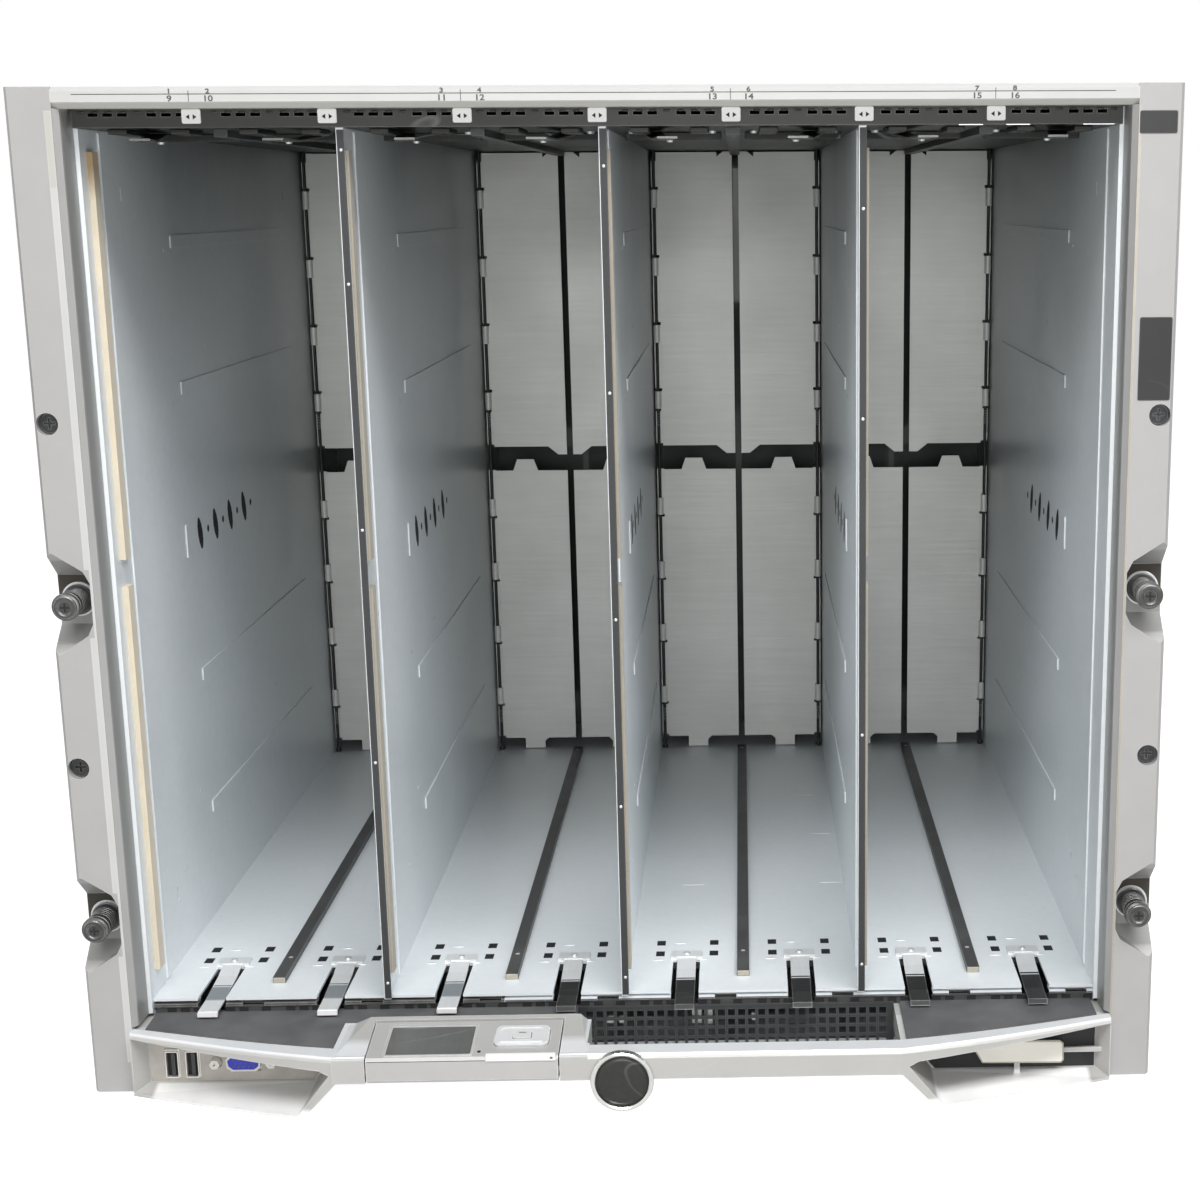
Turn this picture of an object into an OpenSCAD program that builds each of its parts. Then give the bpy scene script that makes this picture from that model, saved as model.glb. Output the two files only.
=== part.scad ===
// Ten-unit blade server enclosure, empty: four full-height bays, each split into two columns
// by a pair of rails, with sprung flaps in front of the midplane and hot-plug modules behind it.
// X runs across, Y from front to rear, Z up. The origin is the middle of the base.

/* [Enclosure] */
// Width over the two mounting ears
ear_span = 482.6; // [478:0.1:486]
// Height of the enclosure
height = 440; // [430:1:450]
// Depth from the ear face to the rear edge of the case
case_d = 750; // [720:1:800]
// Distance from the ear face back to the front edge of the case
case_front = 22; // [20:0.5:30]
// Thickness of the outer sheet
skin = 1.5; // [1:0.1:2]
// Distance from an ear's inner edge to the side of the case
ear_gap = 0.8; // [0.4:0.1:1.2]
// Height of the upturned front edge of the base pan
pan_lip = 12; // [8:0.5:14]

/* [Bays] */
// Thickness of a bay divider
divider_t = 1; // [0.8:0.1:1.4]
// Thickness of the floor, ceiling and liner sheets
sheet_t = 1.2; // [1:0.1:1.4]
// Gap between a side liner and the outer case
liner_gap = 1.3; // [0.8:0.1:2]
// Height of the bay floor's upper face
floor_z = 37; // [34:0.5:42]
// Distance from the top of the enclosure down to the bay ceiling
ceiling_drop = 16; // [15:0.5:24]
// Distance from the ear face to the ceiling's front flange
ceiling_front = 10; // [8:0.5:14]
// Distance from the ear face to the floor's front edge
floor_front = 19.5; // [18:0.5:21]
// Distance from the ear face to the dividers' front edge
divider_front = 14.7; // [12:0.1:17]
// Width of the folded front edge of a divider
hem_w = 3.2; // [2:0.1:4]
// Depth of that folded edge
hem_d = 2.4; // [1.6:0.2:6]
// Distance from the ear face to the side liners' front edge
liner_front = 17; // [15:0.5:19]
// Width of the folded front edge of a side liner
liner_hem = 1.8; // [1.4:0.1:2.1]
// Height of the second edge under the floor's front edge
lip_h = 1.4; // [1:0.1:2]
// Dark groove between the floor's front edge and the second edge
lip_groove = 1.2; // [0.8:0.1:1.6]

/* [Wall features] */
// Height of an embossed wall rib above the sheet
rib_raise = 0.6; // [0.3:0.1:0.9]
// Width of an embossed wall rib
rib_w = 6; // [4:0.5:8]
// Height of one slot in the middle wall group
wall_slot_h = 16; // [10:1:20]
// Width of the conductive gasket strips
gasket_w = 7.6; // [6:0.1:10]
// Thickness of the gasket strips
gasket_t = 2.4; // [1.6:0.1:2.8]

/* [Guide rails and latches] */
// Width of a guide rail
rail_w = 5.8; // [4:0.1:8]
// Height of a guide rail
rail_h = 3; // [2:0.1:5]
// Distance from the ear face to the rails' front ends
rail_front = 37; // [30:1:50]
// Width of a latch strip
strip_w = 9; // [6:0.5:11]
// Thickness of a latch strip
strip_t = 0.8; // [0.6:0.1:1.2]
// Distance from the ear face to a latch strip's front end
strip_front = 10.2; // [9:0.1:12]
// Distance from the ear face to a latch strip's rear end
strip_back = 66; // [62:0.5:67]
// Side length of the square latch holes
latch_hole = 4; // [3:0.1:5]

/* [Flaps] */
// Distance from the ear face to the closed flaps
flap_front = 455; // [440:1:460]
// Thickness of a flap
flap_t = 1; // [0.8:0.1:1.2]
// Gap between two flaps at the middle of a bay
flap_gap = 4; // [2:0.1:6]
// Height of the dark gap between the flap rows
row_gap = 15.5; // [12:0.5:20]
// Height of that gap's middle above the middle of the bay
row_shift = 1; // [-8:0.5:8]
// Diameter of a hinge rod
rod_d = 2; // [1.6:0.1:2.4]
// Radial play of a knuckle on its rod
knuckle_play = 0.08; // [0.04:0.01:0.1]
// Wall of a knuckle
knuckle_wall = 1; // [0.8:0.05:1.2]
// Length of a knuckle
knuckle_l = 11; // [8:0.5:14]
// Pitch of the knuckles along a flap
knuckle_pitch = 42; // [38:0.5:44]
// Free space between a knuckle and the wall beside it
hinge_gap = 0.7; // [0.5:0.1:1]

/* [Ears] */
// Width of the ear face
ear_w = 19; // [17:0.1:19.5]
// Width of the slanted reveal at an ear's inner edge
reveal_w = 3; // [2:0.1:3]
// Thickness of the steel rack flange behind the ears
flange_t = 2; // [1.6:0.1:2.5]
// Length of the flange's arm along the side of the case
flange_arm = 38; // [24:1:60]
// Distance from an ear's outer edge in to the captive screws
screw_inset = 8.75; // [8.3:0.05:9.2]
// Height of the lower captive screws
screw_low = 80.3; // [70:0.1:95]
// Vertical distance between the captive screws
screw_rise = 146.05; // [130:0.05:160]
// Half height of a screw pocket at the ear face
pocket_h = 22; // [19:0.5:26]
// Height of the lower recessed ear screw
ear_screw_low = 153; // [140:1:165]
// Height of the upper recessed ear screw
ear_screw_high = 303.6; // [280:0.1:330]
// Depth of a screw pocket
pocket_d = 13; // [10:0.5:15]
// Diameter of the recesses of the ear screws
ear_recess_d = 9.4; // [8:0.1:10]

/* [Captive screws] */
// Diameter of the knurled head
knob_d = 10.4; // [8:0.1:11]
// Length of the knurled head
knob_l = 15; // [10:0.5:18]
// Diameter of the screw's neck in the ear and the flange
neck_d = 6.4; // [6.2:0.1:7]
// Diameter of the screw's end behind the flange
stud_d = 6; // [5:0.1:6.1]
// Radial play of the neck in the ear and the flange
neck_play = 0.06; // [0.03:0.01:0.1]
// Length of the neck that stands out behind the flange
stud_l = 9; // [6:0.5:14]

/* [Lower bezel] */
// Distance that the bezel bows out in front of the ear face
bow = 36; // [30:0.5:42]
// Width of a slanted wing, from the ear to the straight middle
wing_w = 97.8; // [92:0.2:102]
// Height of the underside of the straight middle
belly_z = 18; // [14:0.5:20]
// Height of the bezel's brow
brow_z = 30; // [28.5:0.5:31]
// Depth of the brow's upper face
brow_d = 11; // [8:0.5:14]
// Wall thickness of the bezel moulding
bezel_t = 3.2; // [2.5:0.1:4]
// Distance from the ear face back to the connector plates
port_y = 3; // [1:0.5:6]
// Thickness of the connector plates
port_t = 2; // [1.4:0.1:2.6]

/* [Display] */
// Width of the display module
lcd_w = 84; // [80:0.5:86]
// Distance from the left end of the straight middle to the display module
lcd_side = 13.5; // [10:0.5:16]
// Joint gap round the display module
lcd_gap = 0.6; // [0.4:0.1:0.9]
// Rise of the display housing at its back
lcd_rise = 5; // [3:0.5:7]
// Diameter of the display's hinge pins
lcd_pin_d = 3; // [2:0.1:3.4]
// Width of the display window
window_w = 37; // [30:0.5:40]
// Height of the display window
window_h = 19; // [15:0.5:21]

/* [Badge and ports] */
// Diameter of the round badge
badge_d = 28; // [24:0.5:30]
// Width of a serial connector socket
usb_w = 13.1; // [12.5:0.1:13.5]
// Height of a serial connector socket
usb_h = 5.7; // [5.2:0.1:6]
// Distance between the jack screws of the video socket
jack_pitch = 25; // [24:0.1:26]
// Diameter of the power button
power_d = 9.4; // [8:0.1:10]

/* [Midplane] */
// Distance from the ear face to the midplane board
mid_y = 520; // [516:1:540]
// Thickness of the midplane board
board_t = 3.2; // [2.4:0.1:5]
// Depth of the midplane connectors
plug_d = 11; // [8:0.5:12]

/* [Rear bays] */
// Height of the shelf over the power supplies
supply_shelf = 108; // [104:0.5:112]
// Height of the shelf over the management modules
manage_shelf = 150; // [146:0.5:154]
// Width of a fan column
fan_w = 84; // [82:0.5:86]
// Diameter of a fan duct
duct_d = 77; // [70:0.5:79]
// Depth of a fan module
fan_d = 60; // [50:1:80]
// Diameter of a fan axle
axle_d = 4; // [3:0.1:5]
// Radial play of a fan hub on its axle
axle_play = 0.05; // [0.03:0.01:0.1]
// Distance that module faces stand out behind the case
face_out = 3; // [1:0.5:5]
// Reach of the power supply handles behind the case
handle_out = 38; // [30:1:45]

/* [Hidden] */
$fn = 48;

BAYS = 4;
SILVER = "#c5c7c9";
STEEL = "#b3bac0";
DARK = "#232427";
PALE = "#d3d6d8";
CREAM = "#ddd0b6";

// Across
ear_out = ear_span / 2;
ear_in = ear_out - ear_w;
case_x = ear_in - ear_gap;
case_in = case_x - skin;
wall_x = case_in - liner_gap - sheet_t;
bay_pitch = (2 * wall_x + divider_t) / BAYS;
bay_clear = bay_pitch - divider_t;
screw_span = ear_span - 2 * screw_inset;
bay_x = [for (i = [0 : BAYS - 1]) (i - (BAYS - 1) / 2) * bay_pitch];
divider_x = [for (i = [1 : BAYS - 1]) (i - BAYS / 2) * bay_pitch];

// Up
case_top = height - 1;
roof_z = case_top - skin;
strip_z = roof_z - 6;
ceiling_z = height - ceiling_drop;
row_mid = (floor_z + ceiling_z) / 2 + row_shift;
function in_bay(t) = floor_z + t * (ceiling_z - floor_z);

// Front to rear
flange_y = case_front - flange_t;
trim_y = floor_front;
inner_back = mid_y;
gasket_y = divider_front + hem_d + 0.1;
wall_gasket_y = liner_front + 9;
gasket_spans = [[floor_z + 12, row_mid - 2.5], [row_mid + 9.5, ceiling_z - 9]];
axis_y = flap_front - knuckle_r();
origin_y = (case_front + case_d) / 2;

// Hollows of the ear moulding, between the pockets and the screws
pocket_clear = pocket_h + 5;
ear_hollows = [
    [6, screw_low - pocket_clear], [screw_low + pocket_clear, ear_screw_low - 9],
    [ear_screw_low + 9, screw_low + screw_rise - pocket_clear],
    [screw_low + screw_rise + pocket_clear, ear_screw_high - 9],
    [ear_screw_high + 9, height - 12]];

// Flaps: column k counts 0 to 7 from the left; an even column hinges on its left wall
function knuckle_r() = rod_d / 2 + knuckle_play + knuckle_wall;
function column_side(k) = k % 2 == 0 ? 1 : -1;
function hinge_x(k) = bay_x[floor(k / 2)] - column_side(k) * (bay_clear / 2 - knuckle_r() - hinge_gap);
flap_w = bay_clear / 2 - knuckle_r() - hinge_gap - flap_gap / 2;
flap_clear = 0.6;
dip = 5.2;
upper_z = row_mid + row_gap / 2;
lower_z = row_mid - row_gap / 2;
tab_x = flap_w * 0.45;

// Lower bezel
wing_out = ear_in;
wing_y0 = 5;
bow_half = wing_out - wing_w;
tip_x = bow_half + 16;
trim_z = brow_z - 1;
recess_in = tip_x + 3.5;

// Display module, laid out in the housing's own slope
lcd_x = -bow_half + lcd_side + lcd_w / 2;
lcd_back = -4;
lcd_slope = atan(lcd_rise / bow);
lcd_axis_y = -bow + 3.4;
lcd_axis_z = belly_z + 4.4;

// Rear
rear_y = case_d + face_out;
fan_cols = [-case_in + fan_w / 2, 0, case_in - fan_w / 2];
cage_walls = [-case_in + fan_w, -fan_w / 2, fan_w / 2, case_in - fan_w];
fan_pitch = (roof_z - manage_shelf) / 3;
io_w = (case_in - 1.5 * fan_w) / 3;
hub_y = 12;
hub_l = 28;
supply_w = 2 * case_in / 6;
manage_w = 2 * case_in / 3;

module seat() translate([0, -origin_y, 0]) children();

// A box given by its lowest and highest corners
module block(low, high) translate(low) cube(high - low);

// A bar along Y with a round section
module rod_y(d, y0, y1) translate([0, y0, 0]) rotate([-90, 0, 0]) cylinder(d = d, h = y1 - y0);

// A profile drawn as [y, z] points, run along X from x0 to x1
module run_x(x0, x1, points)
    translate([x0, 0, 0]) rotate([90, 0, 90]) linear_extrude(x1 - x0) polygon(points);

// A profile drawn as [x, z] points, run along Y from y0 to y1
module run_y(y0, y1, points)
    translate([0, y1, 0]) rotate([90, 0, 0]) linear_extrude(y1 - y0) polygon(points);

module both_sides() {
    children();
    mirror([1, 0, 0]) children();
}

// ---- Steel body ----

module case_shell() color(STEEL) {
    both_sides() difference() {
        block([case_in, case_front, 0], [case_x, case_d, case_top]);
        for (t = [0.14, 0.5, 0.86]) translate([case_in - 1, case_d - 12, t * height])
            rotate([0, 90, 0]) cylinder(d = 3.4, h = skin + 2);
    }
    block([-case_in, case_front, roof_z], [case_in, case_d, case_top]);
}

module base_pan() color(STEEL) {
    block([-case_in, floor_front + skin, 0], [case_in, case_d, skin]);
    block([-wall_x, floor_front, 0], [wall_x, floor_front + skin, pan_lip]);
}

module rack_flanges() color(STEEL) both_sides() difference() {
    union() {
        block([case_x, flange_y, 0], [ear_out, case_front, height]);
        block([case_x, case_front, 0], [case_x + flange_t, case_front + flange_arm, height]);
    }
    screw_spots() rod_y(neck_d + 2 * neck_play, flange_y - 1, case_front + 1);
}

// Centres of the captive screws on one side
module screw_spots()
    for (i = [0, 1]) translate([screw_span / 2, 0, screw_low + i * screw_rise]) children();

module side_liners() color(STEEL) both_sides() {
    difference() {
        union() {
            run_x(wall_x, wall_x + sheet_t, [
                [case_front, skin], [inner_back, skin], [inner_back, roof_z], [case_front, roof_z],
                [case_front, strip_z], [liner_front, strip_z], [liner_front, brow_z + 1],
                [case_front, brow_z + 1]]);
            block([wall_x, liner_front, brow_z + 1], [wall_x + liner_hem, liner_front + 3, strip_z]);
        }
        translate([wall_x, 0, 0]) wall_slots();
        for (y = [70, flap_front - 55]) block([wall_x - 1, y - 1, in_bay(0.925)], [wall_x + 5, y + 1, in_bay(0.94)]);
        block([wall_x - 1, 71, in_bay(0.075)], [wall_x + 5, 74, in_bay(0.093)]);
    }
    translate([wall_x, 0, 0]) mirror([1, 0, 0]) wall_ribs();
    for (y = [90, inner_back - 60], t = [0.16, 0.5, 0.86])
        translate([wall_x + sheet_t, y, t * height]) rotate([0, 90, 0]) cylinder(d = 14, h = liner_gap);
}

// Four leaning slots with round holes between them, through a wall that stands at X = 0
module wall_slots() {
    for (i = [0 : 3]) translate([0, 160 + i * 31, row_mid]) {
        rotate([12, 0, 0]) block([-3, -1.9, -wall_slot_h / 2], [3, 1.9, wall_slot_h / 2]);
        translate([-3, 15.5, 0]) rotate([0, 90, 0]) cylinder(d = 2.4, h = 6);
    }
}

// Embossed ribs on the +X face of a wall that stands at X = 0
module wall_ribs() {
    for (z = [for (t = [0.875, 0.694, 0.323, 0.143]) in_bay(t)])
        block([0, 144, z - rib_w / 2], [rib_raise, flap_front - 60, z + rib_w / 2]);
    block([0, 133, row_mid - wall_slot_h / 2], [rib_raise, 135.5, row_mid + wall_slot_h / 2]);
    // Upright step where the front sheet laps over the rear one
    block([0, 43, floor_z + 1], [rib_raise, 47, ceiling_z - 1]);
}

module bay_dividers() color(STEEL) for (x = divider_x) translate([x, 0, 0]) {
    difference() {
        block([-divider_t / 2, divider_front + hem_d, floor_z], [divider_t / 2, inner_back, ceiling_z]);
        wall_slots();
    }
    block([-hem_w / 2, divider_front, floor_z], [hem_w / 2, divider_front + hem_d, ceiling_z]);
    for (m = [0, 1]) mirror([m, 0, 0]) translate([divider_t / 2, 0, 0]) wall_ribs();
}

// Centres of the small square holes round a latch strip, from the column's middle
module latch_spots(ys) for (x = [-13, 13], y = ys) translate([x, y, 0]) children();

// Floor with its folded second edge, the rods' holes and the cut-outs for the latch strips
module bay_floor() color(PALE) difference() {
    union() {
        block([-wall_x, floor_front, floor_z - sheet_t], [wall_x, inner_back, floor_z]);
        run_x(-wall_x, wall_x, [
            [floor_front + 4, floor_z - sheet_t], [floor_front + 4, second_z],
            [floor_front - 0.8, second_z], [floor_front - 0.8, second_z - lip_h],
            [floor_front + 4 + lip_h, second_z - lip_h], [floor_front + 4 + lip_h, floor_z - sheet_t]]);
    }
    for (k = [0 : 7]) {
        translate([hinge_x(k), axis_y, floor_z - 5]) cylinder(d = rod_d + 0.1, h = 10);
        translate([column_x(k), 0, 0]) {
            block([-strip_w / 2 - 2, floor_front - 1.5, floor_z - 7],
                [strip_w / 2 + 2, strip_back - 7, floor_z + 1]);
            block([14, floor_front - 1.5, second_z - lip_h - 0.5], [24, floor_front + 3, second_z + 0.1]);
            latch_spots([67.5, 82]) translate([0, 0, floor_z])
                cube([latch_hole, latch_hole, 6], center = true);
        }
    }
}

second_z = floor_z - sheet_t - lip_groove;

// Middle of column k, where a half-width blade sits
function column_x(k) = bay_x[floor(k / 2)] - column_side(k) * bay_pitch / 4;

module bay_ceiling() color(DARK) difference() {
    union() {
        block([-wall_x, ceiling_front, ceiling_z], [wall_x, inner_back, ceiling_z + sheet_t]);
        block([-wall_x, ceiling_front, ceiling_z], [wall_x, ceiling_front + sheet_t, strip_z]);
    }
    for (k = [0 : 7]) {
        translate([hinge_x(k), axis_y, ceiling_z - 5]) cylinder(d = rod_d + 0.1, h = 10);
        translate([column_x(k), 0, ceiling_z]) latch_spots([30, 67.5, 82])
            cube([latch_hole, latch_hole, 6], center = true);
        // Louvre slots in the front flange
        for (i = [-3 : 3]) if (i != 0) translate([column_x(k) + i * 6, 0, 0])
            block([-2, ceiling_front - 1, strip_z - 3], [2, ceiling_front + sheet_t + 1, strip_z - 1.6]);
    }
}

module guide_rails() color(DARK) for (x = bay_x) {
    translate([x, 0, floor_z]) guide_rail();
    translate([x, 0, ceiling_z]) mirror([0, 0, 1]) guide_rail();
}

// A rail on a sheet at Z = 0, with a blunt front end and two screw hollows
module guide_rail() difference() {
    block([-rail_w / 2, rail_front, 0], [rail_w / 2, axis_y - 6, rail_h]);
    for (y = [rail_front + 26, axis_y - 14]) translate([0, y, rail_h - 1]) cylinder(d = 2.6, h = 2);
}

// Sprung strips that dip under the floor's front edge and end in a hook
module latch_strips() color(PALE) for (k = [0 : 7]) translate([column_x(k), 0, floor_z]) {
    run_x(-strip_w / 2, strip_w / 2, [
        [strip_back, 0], [strip_at(0.86), 0], [strip_at(0.71), -1.8], [strip_at(0.25), -4],
        [strip_at(0.035), -4], [strip_at(0.015), -5.6], [strip_front, -5.6],
        [strip_at(0.018), -4 + strip_t], [strip_at(0.25), -4 + strip_t],
        [strip_at(0.71), -1.8 + strip_t], [strip_at(0.86), strip_t], [strip_back, strip_t]]);
    difference() {
        block([-7.5, strip_back - 6, 0], [7.5, strip_back + 2, 1.4]);
        translate([0, strip_back - 2, 0.9]) cylinder(d = 3.6, h = 2);
    }
}

function strip_at(t) = strip_front + t * (strip_back - strip_front);

// Strips on the left wall and on the right face of each divider
module emi_gaskets() color(CREAM) {
    for (z = gasket_spans) {
        block([-wall_x, wall_gasket_y, z[0]], [-wall_x + gasket_t, wall_gasket_y + gasket_w, z[1]]);
        for (x = divider_x) translate([x + divider_t / 2, 0, 0])
            block([0, gasket_y, z[0]], [gasket_t, gasket_y + gasket_w, z[1]]);
    }
}

// ---- Flaps ----

module hinge_rods() color(PALE) for (k = [0 : 7]) translate([hinge_x(k), axis_y, 0]) {
    translate([0, 0, floor_z - 3]) cylinder(d = rod_d, h = ceiling_z - floor_z + 6);
    translate([0, 0, floor_z]) cylinder(d = rod_d + 1.6, h = 2);
    for (z = [first_knuckle(lower_leaf_z()), first_knuckle(upper_z)])
        translate([0, 0, z - 1.5]) cylinder(d = rod_d + 1.6, h = 1.2);
}

function lower_leaf_z() = floor_z + 7.5;
function first_knuckle(z) = z + 24;

// Knuckles of a flap whose leaf stands between two heights
module knuckles(z0, z1) difference() {
    count = floor((z1 - z0 - 36 - knuckle_l) / knuckle_pitch) + 1;
    for (i = [0 : count - 1]) translate([0, 0, first_knuckle(z0) + i * knuckle_pitch]) {
        cylinder(r = knuckle_r(), h = knuckle_l);
        block([0, knuckle_r() - flap_t, 0], [4, knuckle_r(), knuckle_l]);
    }
    translate([0, 0, z0]) cylinder(r = rod_d / 2 + knuckle_play, h = z1 - z0);
}

// A leaf from its [x, z] outline, with its hinge at the origin and its free edge at flap_w
module leaf(outline) run_y(knuckle_r() - flap_t, knuckle_r(), outline);

hinge_cut = 2.6;

module flap_upper() {
    top = ceiling_z - flap_clear;
    leaf([
        [hinge_cut, upper_z], [flap_w - 12, upper_z], [flap_w - 5.5, upper_z - dip],
        [flap_w, upper_z - dip], [flap_w, top], [flap_w - 5.5, top],
        [flap_w - 12, top - dip], [hinge_cut, top - dip]]);
    knuckles(upper_z, top - dip);
}

module flap_lower() {
    foot = lower_leaf_z();
    leaf([
        [hinge_cut, foot], [tab_x - 6.5, foot], [tab_x - 6.5, floor_z + flap_clear],
        [tab_x + 6.5, floor_z + flap_clear], [tab_x + 6.5, foot - 2.5], [tab_x + 9, foot],
        [flap_w, foot], [flap_w, lower_z], [tab_x + 8, lower_z], [tab_x + 5.4, lower_z + 7.3],
        [tab_x - 5.4, lower_z + 7.3], [tab_x - 8, lower_z], [hinge_cut, lower_z]]);
    knuckles(foot, lower_z);
}

// Puts a left-hinged flap on column k, mirrored where the column hinges on its right wall
module on_column(k) color(PALE) translate([hinge_x(k), axis_y, 0])
    mirror([column_side(k) < 0 ? 1 : 0, 0, 0]) children();

// ---- Midplane ----

module midplane_board() color("#2c4a3a") difference() {
    block([-case_in, mid_y, skin], [case_in, mid_y + board_t, roof_z]);
    for (x = bay_x, s = [-1, 1], t = [0.09, 0.3, 0.58, 0.79]) translate([x + s * bay_pitch * 0.35, 0, in_bay(t)])
        block([-5, mid_y - 1, 0], [5, mid_y + board_t + 1, 56]);
}

module midplane_connectors() color("#3b3b40") for (k = [0 : 7], t = [0.06, 0.55])
    translate([bay_x[floor(k / 2)] - column_side(k) * bay_pitch / 5, mid_y - plug_d, in_bay(t)]) {
        for (i = [0 : 1]) difference() {
            block([-7, 0, i * 60], [7, plug_d, i * 60 + 46]);
            block([-5, -1, i * 60 + 2], [5, plug_d - 4, i * 60 + 44]);
        }
        translate([0, plug_d, 132]) rotate([90, 0, 0]) cylinder(d = 6, h = plug_d);
    }

// ---- Front lip, intake and bezel ----

grille_x = [lcd_x + lcd_w / 2 + 5, bow_half - 0.1];
grille_hole = 3.3;
grille_step = 4.7;

module intake_grille() color(DARK) difference() {
    block([grille_x[0], trim_y - sheet_t, 4], [grille_x[1], trim_y, trim_z + trim_t]);
    columns = floor((grille_x[1] - grille_x[0] - 3) / grille_step);
    for (i = [0 : columns - 1], j = [0 : 3]) translate([
        grille_x[0] + 3.4 + i * grille_step, trim_y - sheet_t - 1, trim_z - 4.4 - j * grille_step])
        cube([grille_hole, sheet_t + 2, grille_hole]);
}

// Front edge of the bezel in plan: 0 at the ear, 1 at the straight middle
function bulge(t) = 0.7 * t + 0.3 * sin(90 * t);
function wing_x(t) = wing_out + t * (bow_half - wing_out);
function wing_y(t) = -wing_y0 - bulge(t) * (bow - wing_y0);
wing_steps = 6;
function wing_edge(inset) = [for (i = [0 : wing_steps]) let (t = i / wing_steps)
    [wing_x(t), wing_y(t) + inset * (0.6 + 0.4 * t)]];
function reversed(list) = [for (i = [len(list) - 1 : -1 : 0]) list[i]];
function flipped(list) = [for (p = reversed(list)) [-p[0], p[1]]];

trim_t = 1.4;
trim_in = bow_half + 2.7;

// Black trim: cover plates behind the brow, an upright strip under the floor, connector plates
module lip_trim() color(DARK) difference() {
    union() {
        both_sides() intersection() {
            translate([0, 0, trim_z]) linear_extrude(trim_t)
                polygon(concat(wing_edge(brow_d), [[bow_half, trim_y], [wing_out, trim_y]]));
            block([trim_in, -bow, trim_z], [wing_out - 6, trim_y, trim_z + trim_t]);
        }
        block([-trim_in - 0.1, 4, trim_z], [grille_x[0] - 0.1, trim_y, trim_z + trim_t]);
        block([-wing_out + 6, trim_y, trim_z], [wing_out - 6, trim_y + trim_t, second_z - lip_h]);
        both_sides() run_y(port_y, port_y + port_t, recess_outline(wing_out - bezel_t - 0.1, 1.1, bezel_t + 0.1));
        both_sides() block([recess_in + 4.1, port_y, trim_z - 4.2], [wing_out - 12.1, port_y + port_t, trim_z]);
    }
    for (k = [0 : 7]) translate([column_x(k), 0, 0])
        block([-strip_w / 2 - 2, trim_y - 0.5, trim_z + trim_t], [strip_w / 2 + 2, trim_y + 3, floor_z]);
    port_cuts();
}

// Plan of the whole bezel, with its front edge set back by inset
module bezel_plan(inset) polygon(concat([for (p = wing_edge(0)) [p[0], p[1] + inset]],
    [for (p = flipped(wing_edge(0))) [p[0], p[1] + inset]], [[-wing_out, trim_y], [wing_out, trim_y]]));

module bezel_lower() color(SILVER) difference() {
    union() {
        intersection() {
            hull() {
                translate([0, 0, -1]) linear_extrude(brow_z - 1) bezel_plan(0);
                translate([0, 0, brow_z - 0.1]) linear_extrude(0.1) bezel_plan(1.6);
            }
            wing_front();
        }
        lcd_housing();
    }
    // Ledge that the black plates lie in
    translate([0, 0, trim_z]) linear_extrude(9) {
        difference() {
            polygon(concat(wing_edge(brow_d), flipped(wing_edge(brow_d)),
                [[-wing_out - 1, trim_y + 1], [wing_out + 1, trim_y + 1]]));
            translate([lcd_x - lcd_w / 2 - 16, -bow]) square([lcd_w + 29, bow + 4]);
        }
    }
    // Open air between the middle of the bezel and the grille
    block([lcd_x + lcd_w / 2 + 12, -bow + brow_d + 2, -1], [bow_half, trim_y + 1, brow_z + 9]);
    block([-bow_half, 4, -1], [lcd_x + lcd_w / 2 + 13, trim_y + 1, trim_z]);
    both_sides() {
        recess_cut();
        run_y(port_y, trim_y + 1, recess_outline(wing_out - bezel_t, 1.2, bezel_t));
        block([recess_in + 4, port_y, trim_z - 4.3], [wing_out - 12, trim_y + 1, trim_z + 1]);
    }
    lcd_slot();
}

// Front view of the bezel: wings down to the base, a raised belly between them
module wing_front() run_y(-bow - 5, trim_y, [
    [-wing_out, 0], [-tip_x, 0], [-bow_half, belly_z], [bow_half, belly_z], [tip_x, 0],
    [wing_out, 0], [wing_out, brow_z], [-wing_out, brow_z]]);

rim_h = 1.2;

// Front view of a recess up to x = side, grown by g, with its floor at height low
function recess_outline(side, g, low) = [
    [side, low], [recess_in - g, low], [recess_in - 16.5 - g, brow_z - 8.5 + g / 2],
    [recess_in - 12, brow_z - 6.5 + g], [side, brow_z - 2.2]];

// Finger recess: its floor rises from the thin front rim back to the connector plate
module recess_cut() intersection() {
    hull() {
        translate([0, 0, rim_h]) linear_extrude(brow_z) polygon(concat(
            [for (p = wing_edge(0)) if (p[0] > recess_in - 20) [p[0], p[1] - 0.6]], [[recess_in - 20, -bow - 0.6]]));
        translate([0, port_y - 0.5, rim_h + 2.4]) block([recess_in - 20, 0, 0], [wing_out - 6, 0.5, brow_z]);
    }
    run_y(-bow - 5, port_y, recess_outline(wing_out + 1, 0, 0));
}

// Raised housing round the display, sloping up to the rear
module lcd_housing() intersection() {
    x0 = lcd_x - lcd_w / 2;
    x1 = lcd_x + lcd_w / 2;
    run_y(-bow, 0, [
        [x0 - 15, belly_z], [x1 + 13, belly_z], [x1 + 13, brow_z - 0.5], [x1 + 7, brow_z + lcd_rise],
        [x0 - 2, brow_z + lcd_rise], [x0 - 15, brow_z - 0.5]]);
    run_x(x0 - 20, x1 + 20, [
        [-bow, belly_z], [0, belly_z], [0, brow_z - 0.5 + lcd_rise], [-bow, brow_z - 0.5]]);
}

// Space for the display module, and the bores of its hinge pins
module lcd_slot() {
    x0 = lcd_x - lcd_w / 2 - lcd_gap;
    x1 = lcd_x + lcd_w / 2 + lcd_gap;
    block([x0, -bow - 5, belly_z - 5], [x1, lcd_back + 1, brow_z + lcd_rise + 5]);
    translate([x0 - 4, lcd_axis_y, lcd_axis_z]) rotate([0, 90, 0])
        cylinder(d = lcd_pin_d + 0.12, h = x1 - x0 + 8);
}

// Places of the sockets, measured in from the left end of the wing
usb_x = [-wing_out + 16.2, -wing_out + 25.4];
vga_x = -wing_out + 48.7;
power_x = -wing_out + 76.9;
port_z = 12.4;

port_back = port_y + port_t;

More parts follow.
